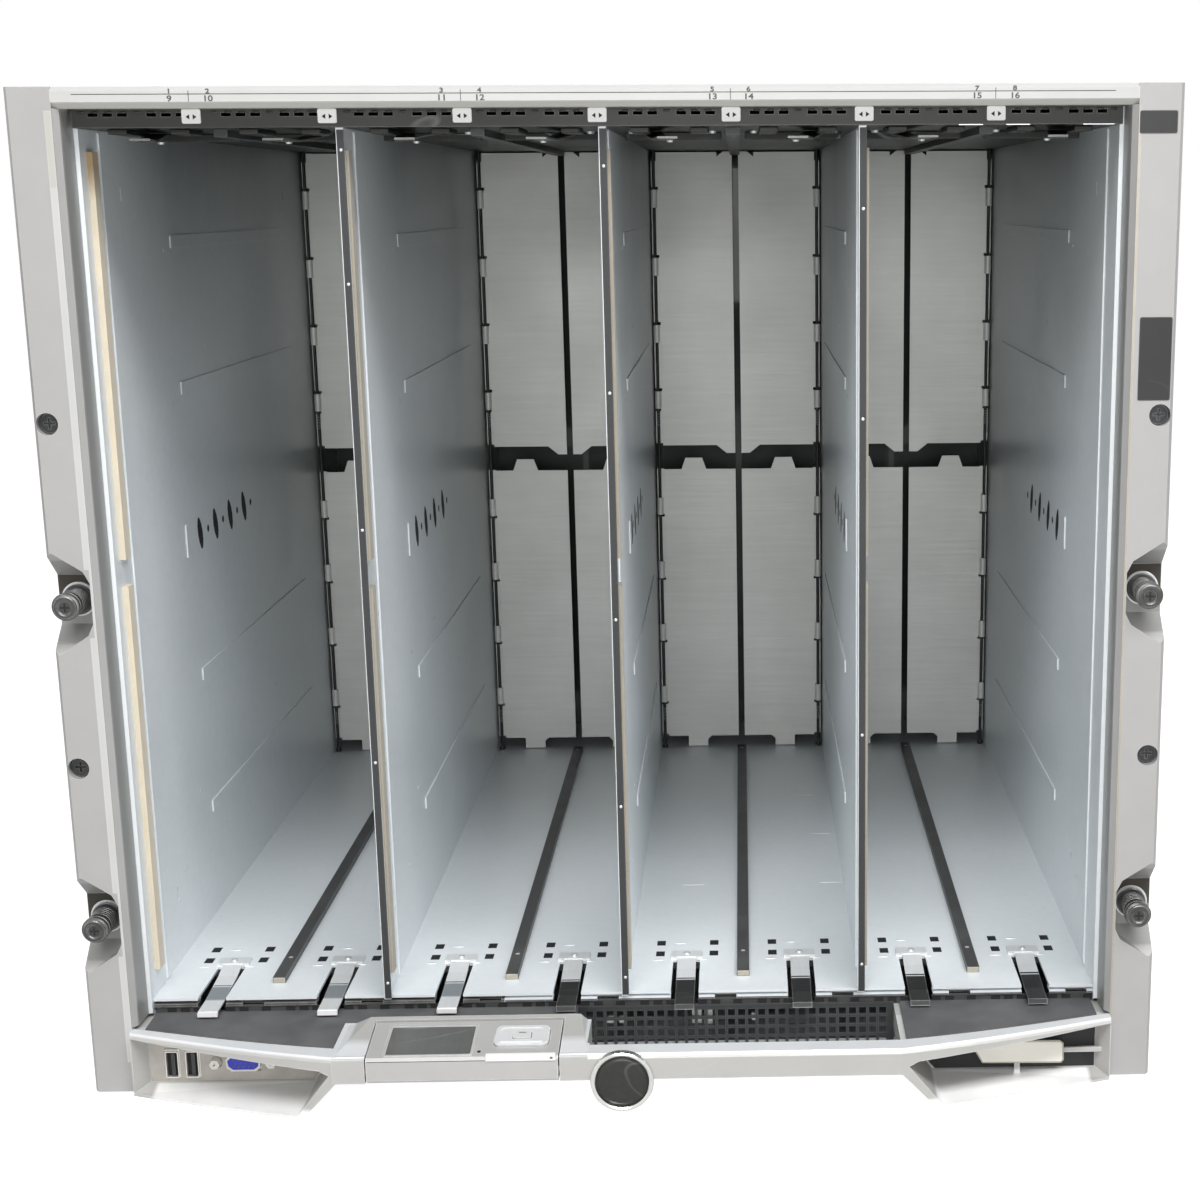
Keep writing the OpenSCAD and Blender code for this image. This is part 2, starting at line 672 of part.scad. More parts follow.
module port_cuts() {
    for (x = usb_x) block([x - usb_h / 2 - 0.5, port_y - 1, port_z - usb_w / 2 - 0.5],
        [x + usb_h / 2 + 0.5, port_back + 1, port_z + usb_w / 2 + 0.5]);
    translate([vga_x, 0, port_z]) run_y(port_y - 1, port_back + 1, vga_outline(0.4));
    for (s = [-1, 1]) translate([vga_x + s * jack_pitch / 2, 0, port_z]) rod_y(5.4, port_y - 1, port_back + 1);
    translate([power_x, 0, port_z + 1.3]) rod_y(power_d + 0.6, port_y - 1, port_back + 1);
}

// D-shaped outline of the video socket, grown by g
function vga_outline(g) = [[-8.2 - g, 4 + g], [-7 - g, -4 - g], [7 + g, -4 - g], [8.2 + g, 4 + g]];

module port_sockets() {
    color("#c9ccce") for (x = usb_x) difference() {
        union() {
            block([x - usb_h / 2, port_y - 0.6, port_z - usb_w / 2], [x + usb_h / 2, port_y + 12, port_z + usb_w / 2]);
            block([x - usb_h / 2 - 1.2, port_back, port_z - usb_w / 2 - 1.2],
                [x + usb_h / 2 + 1.2, port_back + 1, port_z + usb_w / 2 + 1.2]);
        }
        block([x - usb_h / 2 + 0.4, port_y - 2, port_z - usb_w / 2 + 0.4],
            [x - 0.2, port_y + 10, port_z + usb_w / 2 - 0.4]);
        block([x + 0.9, port_y - 2, port_z - usb_w / 2 + 0.4],
            [x + usb_h / 2 - 0.4, port_y + 10, port_z + usb_w / 2 - 0.4]);
    }
    color("#2f54b8") translate([vga_x, 0, port_z]) {
        difference() {
            run_y(port_y - 1.6, port_y + 8, vga_outline(0));
            for (row = [-1 : 1], i = [-2 : 2]) translate([i * 2.3 + (row == 0 ? 1.1 : 0), 0, row * 2])
                rod_y(1, port_y - 3, port_y);
        }
        difference() {
            block([-15.4, port_back, -6.2], [15.4, port_back + 1.2, 6.2]);
            for (s = [-1, 1]) translate([s * jack_pitch / 2, 0, 0]) rod_y(3, port_y, port_y + 10);
        }
        for (s = [-1, 1]) translate([s * jack_pitch / 2, 0, 0]) difference() {
            union() {
                translate([0, port_y - 2, 0]) rotate([-90, 0, 0]) cylinder(d = 5, h = port_t + 2, $fn = 6);
                rod_y(3, port_y, port_back + 3);
            }
            rod_y(2.6, port_y - 3, port_y + 1);
        }
    }
}

module round_badge() translate([0.7, 0, 20.5]) {
    color("#e4e5e6") translate([0, -bow, 0]) rotate([90, 0, 0]) rotate_extrude($fn = 72)
        polygon([[0, 0], [badge_d / 2 - 2.4, 0], [badge_d / 2 - 0.8, 0.6], [badge_d / 2, 2.4],
            [badge_d / 2 - 0.5, 3.8], [badge_d / 2 - 1.4, 4.2], [badge_d / 2 - 2.2, 3.4],
            [badge_d / 2 - 2.2, 2.2], [0, 2.2]]);
    color(DARK) translate([0, -bow - 2.2, 0]) rotate([90, 0, 0]) cylinder(r = badge_d / 2 - 2.3, h = 1, $fn = 72);
}

// Strip across the top with a bevelled lower edge, let in between the steel flanges at the rear
module bezel_top() color(SILVER) {
    run_x(-ear_in, ear_in, [
        [3, strip_z], [ceiling_front + sheet_t, strip_z], [flange_y, strip_z + 2], [flange_y, height],
        [2, height], [0, height - 1.6], [0, strip_z + 2.4]]);
    block([-case_x, flange_y, strip_z + 2], [case_x, case_front, height]);
}

module bezel_ears() color(SILVER) both_sides() {
    difference() {
        linear_extrude(height) polygon([
            [ear_in, 0], [ear_out - 1.6, 0], [ear_out, 2], [ear_out, flange_y], [ear_in, flange_y]]);
        screw_spots() screw_pocket();
        ear_screw_spots() {
            rod_y(ear_recess_d, -1, 6);
            rod_y(3.4, 0, flange_y + 1);
        }
        // Hollow back of the moulding
        for (z = ear_hollows) block([ear_in + 3, 5, z[0]], [ear_out - 3, flange_y + 1, z[1]]);
    }
    // Bevel and slanted reveal towards the bays
    translate([0, 0, brow_z + 1]) linear_extrude(strip_z - brow_z - 1) polygon([
        [ear_in, 0.4], [ear_in - reveal_w * 0.74, 3], [ear_in - reveal_w, liner_front - 0.1],
        [ear_in, liner_front - 0.1]]);
}

// Pocket that opens through the outer edge, with slanted upper and lower faces
module screw_pocket() {
    intersection() {
        run_y(-1, pocket_d, [
            [-9, pocket_h - 13], [-6.5, pocket_h - 8], [12, pocket_h + 4], [12, -pocket_h - 4],
            [-6.5, -pocket_h + 8], [-9, -pocket_h + 13]]);
        run_x(-20, 20, [
            [-1, -pocket_h - 1], [pocket_d, -11], [pocket_d, 11], [-1, pocket_h + 1]]);
    }
    rod_y(neck_d + 2 * neck_play, pocket_d - 1, flange_y + 1);
}

module ear_screw_spots() for (z = [ear_screw_low, ear_screw_high]) translate([ear_out - 5.8, 0, z]) children();

module ear_screws() color(DARK) both_sides() ear_screw_spots() difference() {
    union() {
        rod_y(8.4, 3.4, 6);
        rod_y(3.4, 6, flange_y);
    }
    for (a = [0, 90]) rotate([0, a, 0]) block([-2.4, 2, -0.5], [2.4, 4.8, 0.5]);
}

// ---- Front controls ----

// Knurled head, silver collar and plain neck, with the axis along Y at the origin
module thumbscrew() color(DARK) difference() {
    union() {
        translate([0, pocket_d - 4 - knob_l, 0]) rotate([-90, 0, 0]) {
            linear_extrude(knob_l) polygon([for (i = [0 : 47])
                let (r = knob_d / 2 - (i % 2) * 0.45) [r * cos(i * 7.5), r * sin(i * 7.5)]]);
        }
        rod_y(knob_d - 1.4, pocket_d - 5 - knob_l, pocket_d - 3 - knob_l);
        rod_y(knob_d + 1.2, pocket_d - 4, pocket_d - 2.4);
        rod_y(neck_d + 2, pocket_d - 3, pocket_d);
        rod_y(neck_d, pocket_d - 1, case_front + 0.6);
        rod_y(stud_d, case_front + 0.5, case_front + stud_l);
    }
    for (a = [0, 90]) rotate([0, a, 0])
        block([-2.8, pocket_d - 6 - knob_l, -0.6], [2.8, pocket_d - 2 - knob_l, 0.6]);
}

// i = 0 to 3: left lower, left upper, right lower, right upper
module thumbscrew_at(i) translate([(i < 2 ? -1 : 1) * screw_span / 2, 0, screw_low + (i % 2) * screw_rise])
    thumbscrew();

// Height of the display housing's sloping top at y
function lcd_top(y) = brow_z - 0.5 + lcd_rise * (y + bow) / bow;
pad_x = lcd_x + 25;
pad_y = -19.5;
pad_lip = 1;
well_h = 3.6;
pad_w = 24;
pad_d = 16;

// Places a flat piece on the sloping top, with its middle at y
module on_slope(y) translate([0, y, lcd_top(y)]) rotate([lcd_slope, 0, 0]) children();

module lcd_panel() {
    x0 = lcd_x - lcd_w / 2;
    x1 = lcd_x + lcd_w / 2;
    color(SILVER) difference() {
        union() {
            run_x(x0, x1, [
                [-bow - 0.2, belly_z + 1.2], [-bow + 1, belly_z], [lcd_axis_y + 6, belly_z],
                [lcd_back - 1.2, belly_z + 7], [lcd_back, lcd_top(lcd_back) - 1],
                [lcd_back - 1, lcd_top(lcd_back - 1)], [-bow + 1, lcd_top(-bow + 1)],
                [-bow - 0.2, lcd_top(-bow) - 1]]);
            translate([x0 - 3, lcd_axis_y, lcd_axis_z]) rotate([0, 90, 0])
                cylinder(d = lcd_pin_d, h = lcd_w + 6);
        }
        on_slope(-21.5) translate([lcd_x - 15, 0, 0])
            cube([window_w, window_h, 1.6], center = true);
        on_slope(pad_y) translate([pad_x, 0, -pad_lip - well_h]) {
            linear_extrude(well_h) rounded(pad_w + 3.6, pad_d + 3.6, 3);
            linear_extrude(10) rounded(pad_w + 0.6, pad_d + 0.6, 3);
        }
    }
}

// The pad and its middle key are held from above: each has a flange under the edge that it moves in
module nav_pad() color(PALE) on_slope(pad_y) translate([pad_x, 0, -pad_lip]) difference() {
    union() {
        linear_extrude(pad_lip + 1) rounded(pad_w, pad_d, 3);
        translate([0, 0, -0.8]) linear_extrude(0.8) rounded(pad_w + 2.8, pad_d + 2.8, 3);
    }
    translate([0, 0, -2]) linear_extrude(8) rounded(8.6, 6.6, 1.5);
}

module nav_key() color(PALE) on_slope(pad_y) translate([pad_x, 0, -pad_lip - 0.8]) {
    linear_extrude(pad_lip + 2.4) rounded(8, 6, 1.2);
    translate([0, 0, -0.8]) linear_extrude(0.8) rounded(10, 8, 1.2);
}

// A rectangle with round corners, drawn with true arcs
module rounded(w, d, r) {
    square([w - 2 * r, d], center = true);
    square([w, d - 2 * r], center = true);
    for (x = [-1, 1], y = [-1, 1]) translate([x * (w / 2 - r), y * (d / 2 - r)]) circle(r = r, $fn = 24);
}

module power_button() color(PALE) translate([power_x, 0, port_z + 1.3]) {
    rod_y(power_d, port_y - 2, port_back);
    rod_y(power_d + 2.4, port_back, port_back + 1);
}

// ---- Rear bays ----

module rear_cage() color(STEEL) {
    y0 = mid_y + board_t;
    for (x = cage_walls) block([x - 0.6, y0, manage_shelf], [x + 0.6, case_d, roof_z]);
    block([-case_in, y0, manage_shelf - sheet_t], [case_in, case_d, manage_shelf]);
    block([-case_in, y0, supply_shelf - sheet_t], [case_in, case_d, supply_shelf]);
    for (i = [1 : 5]) block([-case_in + i * supply_w - 0.6, y0 + 20, skin],
        [-case_in + i * supply_w + 0.6, case_d, supply_shelf - sheet_t]);
    for (x = [-1, 1] * manage_w / 2) block([x - 0.6, y0 + 20, supply_shelf], [x + 0.6, case_d, manage_shelf - sheet_t]);
    for (x = fan_cols, i = [1, 2])
        block([x - fan_w / 2 + 0.6, case_d - fan_d, manage_shelf + i * fan_pitch - 0.6],
            [x + fan_w / 2 - 0.6, case_d, manage_shelf + i * fan_pitch + 0.6]);
}

// Centre of fan i: 0 to 8, column by column from the left, from the bottom up
function fan_at(i) = [fan_cols[floor(i / 3)], rear_y - fan_d, manage_shelf + (i % 3 + 0.5) * fan_pitch];

module fan_frames() color(DARK) for (i = [0 : 8]) translate(fan_at(i)) {
    w = fan_w - 2.4;
    h = fan_pitch - 1.4;
    difference() {
        block([-w / 2, 0, -h / 2], [w / 2, fan_d, h / 2]);
        rod_y(duct_d, -1, fan_d + 1);
    }
    intersection() {
        rod_y(duct_d + 2, 0, fan_d);
        for (a = [45, 135]) rotate([0, a, 0]) block([-duct_d, 3, -1.6], [duct_d, 7, 1.6]);
    }
    rod_y(32, 3, 10);
    rod_y(axle_d, 10, hub_y + 24);
}

// Wire finger guards on the rear faces of the fan modules
module fan_guards() color(PALE) for (i = [0 : 8]) translate(fan_at(i)) translate([0, fan_d, 0]) {
    intersection() {
        rod_y(duct_d + 4, 0, 1.8);
        for (a = [0, 60, 120]) rotate([0, a, 0]) block([-duct_d, 0, -0.8], [duct_d, 1.6, 0.8]);
    }
    for (t = [0.26, 0.47, 0.68, 0.88]) rotate([-90, 0, 0]) difference() {
        cylinder(r = t * duct_d / 2 + 0.8, h = 1.8);
        translate([0, 0, -1]) cylinder(r = t * duct_d / 2 - 0.8, h = 4);
    }
}

// Hub and raked blades on the axle, turning about Y
module fan_rotor(i) color("#3a3c40") translate(fan_at(i)) difference() {
    union() {
        rod_y(34, hub_y, hub_y + hub_l);
        intersection() {
            rod_y(duct_d - 3, hub_y + 1, hub_y + hub_l - 1);
            union() for (a = [0 : 6]) rotate([0, a * 360 / 7, 0])
                translate([0, hub_y + hub_l / 2, 15]) rotate([0, 0, 38]) block([-0.8, -18, 0], [0.8, 18, duct_d / 2]);
        }
    }
    rod_y(axle_d + 2 * axle_play, hub_y - 1, hub_y + 25);
}

module io_blanks() color(STEEL) for (side = [-1, 1], i = [0 : 2]) {
    x0 = side * (fan_w / 2 + 0.6 + (i + 0.5) * (io_w - 0.4));
    w = io_w - 1.4;
    tall = roof_z - manage_shelf;
    vent_step = (tall - 56) / 17;
    translate([x0, rear_y, manage_shelf]) {
        difference() {
            block([-w / 2, -40, 0], [w / 2, 0, tall - 0.6]);
            block([-w / 2 + 1.2, -41, 1.2], [w / 2 - 1.2, -1.2, tall - 1.8]);
            for (j = [0 : 17]) translate([0, 0, 24 + j * vent_step])
                block([-w / 2 + 6, -0.7, 0], [w / 2 - 6, 1, vent_step / 2]);
        }
        translate([0, 0, 12]) rotate([-90, 0, 0]) cylinder(d = 8, h = 8);
    }
}

module power_supplies() for (i = [0 : 5]) translate([-case_in + (i + 0.5) * supply_w, 0, skin]) {
    w = supply_w - 2.6;
    h = supply_shelf - sheet_t - skin - 1;
    color(STEEL) difference() {
        block([-w / 2, mid_y + 26, 0], [w / 2, rear_y, h]);
        // Inlet well and the grille's shallow cells
        block([-w / 2 + 6, rear_y - 16, 8], [-w / 2 + 33, rear_y + 1, 30]);
        for (cx = [0 : 8], cz = [0 : 6])
            translate([-w / 2 + 9 + cx * 6.6, 0, 42 + cz * 6.6]) rod_y(5, rear_y - 3, rear_y + 1);
    }
    color(DARK) {
        block([-w / 2 + 10, rear_y - 16, 11], [-w / 2 + 29, rear_y - 3, 27]);
        supply_handle(w, h);
    }
}

// Bent bar across the upper half of a supply's face
module supply_handle(w, h) {
    reach = handle_out - face_out;
    difference() {
        block([-w / 2 + 3, rear_y, h - 15], [w / 2 - 3, rear_y + reach, h - 6]);
        block([-w / 2 + 9, rear_y - 1, h - 16], [w / 2 - 9, rear_y + reach - 6, h - 5]);
    }
}

module management_modules() {
    half = manage_w / 2;
    spans = [[-case_in + 1, -half - 1.1], [-half + 1.1, half - 1.1], [half + 1.1, case_in - 1]];
    top = manage_shelf - sheet_t - 1;
    for (i = [0 : 2]) let (x0 = spans[i][0], x1 = spans[i][1]) {
        color(STEEL) difference() {
            block([x0, mid_y + 40, supply_shelf], [x1, rear_y, top]);
            for (j = [0 : 1]) block([x0 + 18 + j * 18, rear_y - 12, supply_shelf + 12],
                [x0 + 32 + j * 18, rear_y + 1, supply_shelf + 24]);
            for (j = [0 : 8]) translate([x0 + 66 + j * 6.6, 0, supply_shelf + 18])
                rod_y(4.4, rear_y - 3, rear_y + 1);
        }
        color(DARK) translate([x1 - 14, rear_y, supply_shelf + 18]) rotate([-90, 0, 0])
            cylinder(d = 9, h = 10);
    }
}

seat() case_shell();
seat() base_pan();
seat() bay_floor();
seat() bay_ceiling();
seat() side_liners();
seat() bay_dividers();
seat() guide_rails();
seat() latch_strips();
seat() emi_gaskets();
seat() hinge_rods();
seat() midplane_board();
seat() midplane_connectors();
seat() intake_grille();
seat() lip_trim();
seat() bezel_ears();
seat() bezel_top();
seat() bezel_lower();
seat() rack_flanges();
seat() ear_screws();
seat() port_sockets();
seat() round_badge();
seat() rear_cage();
seat() fan_frames();
seat() fan_guards();
seat() io_blanks();
seat() power_supplies();
seat() management_modules();
for (k = [0 : 7]) {
    seat() on_column(k) flap_upper();
    seat() on_column(k) flap_lower();
}
for (i = [0 : 8]) seat() fan_rotor(i);
for (i = [0 : 3]) seat() thumbscrew_at(i);
seat() lcd_panel();
seat() nav_pad();
seat() nav_key();
seat() power_button();
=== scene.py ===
# Ten-unit blade server enclosure, empty: finishes, printed marks, small pieces, light and camera.
import math

import bmesh
import bpy
from mathutils import Matrix, Vector


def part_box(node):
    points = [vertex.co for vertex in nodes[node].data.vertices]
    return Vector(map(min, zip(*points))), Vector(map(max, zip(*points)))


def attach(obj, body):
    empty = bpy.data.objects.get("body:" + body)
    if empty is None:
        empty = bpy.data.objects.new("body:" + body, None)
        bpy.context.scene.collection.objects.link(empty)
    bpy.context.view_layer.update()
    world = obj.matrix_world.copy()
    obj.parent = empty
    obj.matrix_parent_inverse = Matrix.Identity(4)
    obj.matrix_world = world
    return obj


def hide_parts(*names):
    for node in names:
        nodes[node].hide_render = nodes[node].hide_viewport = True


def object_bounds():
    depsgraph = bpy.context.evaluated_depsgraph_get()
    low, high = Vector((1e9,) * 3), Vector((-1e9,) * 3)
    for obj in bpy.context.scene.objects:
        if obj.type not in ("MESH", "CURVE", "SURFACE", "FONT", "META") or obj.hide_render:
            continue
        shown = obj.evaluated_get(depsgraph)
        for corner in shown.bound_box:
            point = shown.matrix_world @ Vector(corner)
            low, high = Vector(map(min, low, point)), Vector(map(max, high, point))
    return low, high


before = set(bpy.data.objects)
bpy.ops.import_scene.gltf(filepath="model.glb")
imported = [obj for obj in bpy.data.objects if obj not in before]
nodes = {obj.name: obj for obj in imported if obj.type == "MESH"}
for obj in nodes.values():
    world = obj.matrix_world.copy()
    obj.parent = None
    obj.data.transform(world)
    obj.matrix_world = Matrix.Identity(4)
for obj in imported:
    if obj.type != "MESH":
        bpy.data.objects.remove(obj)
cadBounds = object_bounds()
mm = 0.001
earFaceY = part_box("bezel_ears")[0].y  # front plane of the two ears
print("frame loaded:", len(nodes), "nodes")


def spot(x, y, z):  # millimetres across, behind the ear face and up
    return Vector((x * mm, earFaceY + y * mm, z * mm))


def addObject(name, data):
    item = bpy.data.objects.new(name, data)
    bpy.context.scene.collection.objects.link(item)
    return item


# camera

view = dict(place=(56.8, -868.2, 394.3), pitch=13.60, turn=-1.60, roll=0.30, lens=61.08, shift=(-0.1667, 0.076))


def makeCamera():
    camera = addObject("viewCamera", bpy.data.cameras.new("viewCamera"))
    turn = Matrix.Rotation(math.radians(view["turn"]), 3, "Z")
    tilt = Matrix.Rotation(math.radians(90 - view["pitch"]), 3, "X")
    roll = Matrix.Rotation(math.radians(-view["roll"]), 3, "Z")
    camera.rotation_euler = (turn @ tilt @ roll).to_euler()
    camera.location = spot(*view["place"])
    camera.data.lens = view["lens"]
    camera.data.sensor_width = 36
    camera.data.shift_x, camera.data.shift_y = view["shift"]
    camera.data.clip_start = 0.01
    bpy.context.scene.camera = camera


makeCamera()
print("camera placed")

# shader helpers; a kind without a prefix is a shader node, an input is a value or another node's output


def put(tree, kind, inputs=None, **settings):
    node = tree.nodes.new(kind if "Node" in kind else "ShaderNode" + kind)
    for key, value in settings.items():
        setattr(node, key, value)
    for key, value in (inputs or {}).items():
        if isinstance(value, bpy.types.NodeSocket):
            tree.links.new(value, node.inputs[key])
        else:
            node.inputs[key].default_value = value
    return node


def make(tree, kind, inputs=None, **settings):  # the same, and gives the first output
    return put(tree, kind, inputs, **settings).outputs[0]


def calc(tree, operation, *values):
    return make(tree, "Math", dict(enumerate(values)), operation=operation)


def here(tree):
    return put(tree, "TexCoord").outputs["Object"]


def noise(tree, where, scale, detail=2.0, output=0):
    return put(tree, "TexNoise", {"Vector": where, "Scale": scale, "Detail": detail}).outputs[output]


def rescale(tree, value, *ends):  # from low and high to two new ends
    return make(tree, "MapRange", dict(enumerate((value, *ends))))


def blendColour(tree, factor, a, b):
    return put(tree, "Mix", {0: factor, 6: a, 7: b}, data_type="RGBA").outputs[2]


def paint(red, green, blue):  # display values from 0 to 255 to a linear colour
    channels = [c / 255 for c in (red, green, blue)]
    return [c / 12.92 if c < 0.04045 else ((c + 0.055) / 1.055) ** 2.4 for c in channels] + [1.0]


def freshTree(owner):
    owner.use_nodes = True
    owner.node_tree.nodes.clear()
    return owner.node_tree


def startGroup(name, inputs):
    tree = bpy.data.node_groups.new(name, "ShaderNodeTree")
    for label, value in inputs.items():
        tree.interface.new_socket(label, in_out="INPUT", socket_type="NodeSocketFloat").default_value = value
    return tree, tree.nodes.new("NodeGroupInput").outputs


def endGroup(tree, **results):
    for label in results:
        tree.interface.new_socket(label, in_out="OUTPUT", socket_type="NodeSocketFloat")
    ends = tree.nodes.new("NodeGroupOutput")
    for label, socket in results.items():
        tree.links.new(socket, ends.inputs[label])
    return tree


def grainGroup():  # fine even texture of moulded, painted or rolled surfaces, stretched along one axis or none
    tree, given = startGroup("grain", {"Scale": 900, "Stretch X": 1, "Stretch Y": 1, "Stretch Z": 1})
    stretch = make(tree, "CombineXYZ", {i: given[f"Stretch {axis}"] for i, axis in enumerate("XYZ")})
    where = make(tree, "Mapping", {"Vector": here(tree), "Scale": stretch})
    fine = noise(tree, where, given["Scale"], 3.0)
    broad = noise(tree, where, calc(tree, "MULTIPLY", given["Scale"], 0.04), 4.0)
    tone = calc(tree, "MULTIPLY_ADD", fine, 0.4, calc(tree, "MULTIPLY", broad, 0.6))
    return endGroup(tree, Tone=tone, Height=fine)


def spangleGroup():  # crystals of a zinc coating
    tree, given = startGroup("spangle", {"Scale": 90})
    where = here(tree)
    wander = noise(tree, where, 60.0, output="Color")
    sway = make(tree, "VectorMath", {0: wander, 1: (0.012, 0.012, 0.012)}, operation="MULTIPLY")
    place = make(tree, "VectorMath", {0: sway, 1: where}, operation="ADD")
    cells = put(tree, "TexVoronoi", {"Vector": place, "Scale": given["Scale"]}).outputs["Color"]
    return endGroup(tree, Tone=make(tree, "SeparateColor", {0: cells}))


def edgeGroup():  # rims, lighter or darker for wear, and lighter as painted highlights where a rim would catch light
    tree, given = startGroup("edgeWearAndHighlight", {"Radius": 0.0008, "Breakup": 140})
    soft = make(tree, "Bevel", {"Radius": given["Radius"]}, samples=4)
    hard = put(tree, "NewGeometry").outputs["Normal"]
    same = put(tree, "VectorMath", {0: soft, 1: hard}, operation="DOT_PRODUCT").outputs["Value"]
    rim = calc(tree, "MULTIPLY", calc(tree, "SUBTRACT", 1.0, same), 5.0)
    patchy = rescale(tree, noise(tree, here(tree), given["Breakup"]), 0.35, 0.65, 0.2, 1.0)
    return endGroup(tree, Mask=make(tree, "Clamp", {0: calc(tree, "MULTIPLY", rim, patchy)}))


def scuffGroup():  # thin wandering scratches and faint smears
    tree, given = startGroup("scuffs", {"Scale": 14, "Width": 0.006})
    where = here(tree)
    long = make(tree, "Mapping", {"Vector": where, "Rotation": (0.5, 0.3, 0.9), "Scale": (1, 6, 1.6)})
    gap = calc(tree, "ABSOLUTE", calc(tree, "SUBTRACT", noise(tree, long, given["Scale"], 1.0), 0.52))
    lines = rescale(tree, gap, 0.0, given["Width"], 1.0, 0.0)
    patch = rescale(tree, noise(tree, where, 9.0, 3.0), 0.5, 0.72, 0.0, 1.0)
    return endGroup(tree, Lines=calc(tree, "MULTIPLY", lines, patch), Smear=patch)


def dustGroup():  # settles on faces that look up
    tree, given = startGroup("dust", {"Scale": 45})
    normal = put(tree, "NewGeometry").outputs["Normal"]
    upward = rescale(tree, put(tree, "SeparateXYZ", {0: normal}).outputs[2], 0.3, 1.0, 0.0, 1.0)
    cloud = rescale(tree, noise(tree, here(tree), given["Scale"], 5.0), 0.4, 0.7, 0.1, 1.0)
    return endGroup(tree, Mask=calc(tree, "MULTIPLY", upward, cloud))


def zoneGroup():  # 1 inside a box with soft sides, in metres of the object
    limits = {f"{end} {axis}": value for axis in "XYZ" for end, value in (("From", -9), ("To", 9))}
    tree, given = startGroup("zone", {**limits, "Softness": 0.0002})
    axes = put(tree, "SeparateXYZ", {0: here(tree)}).outputs
    mask = 1.0
    for i, axis in enumerate("XYZ"):
        above = calc(tree, "SUBTRACT", axes[i], given[f"From {axis}"])
        below = calc(tree, "SUBTRACT", given[f"To {axis}"], axes[i])
        depth = calc(tree, "DIVIDE", calc(tree, "MINIMUM", above, below), given["Softness"])
        mask = calc(tree, "MULTIPLY", mask, make(tree, "Clamp", {0: depth}))
    return endGroup(tree, Mask=mask)


groups = {"grain": grainGroup(), "spangle": spangleGroup(), "edge": edgeGroup(), "scuff": scuffGroup(),
          "dust": dustGroup(), "zone": zoneGroup()}


def use(tree, name, **values):
    node = put(tree, "Group", node_tree=groups[name])
    for key, value in values.items():
        node.inputs[key].default_value = value
    return node.outputs


# finishes
# colour is as seen under white light; tone is how far the grain lightens and darkens it; bump is in metres
# zones colour parts of a node: low and high corners in millimetres, colour, softness of the border

far = 900


def recipe(colour, rough, grain, tone, metal=0.0, bump=0.00001, **more):
    return dict(colour=colour, rough=rough, grain=grain, tone=tone, metal=metal, bump=bump, **more)


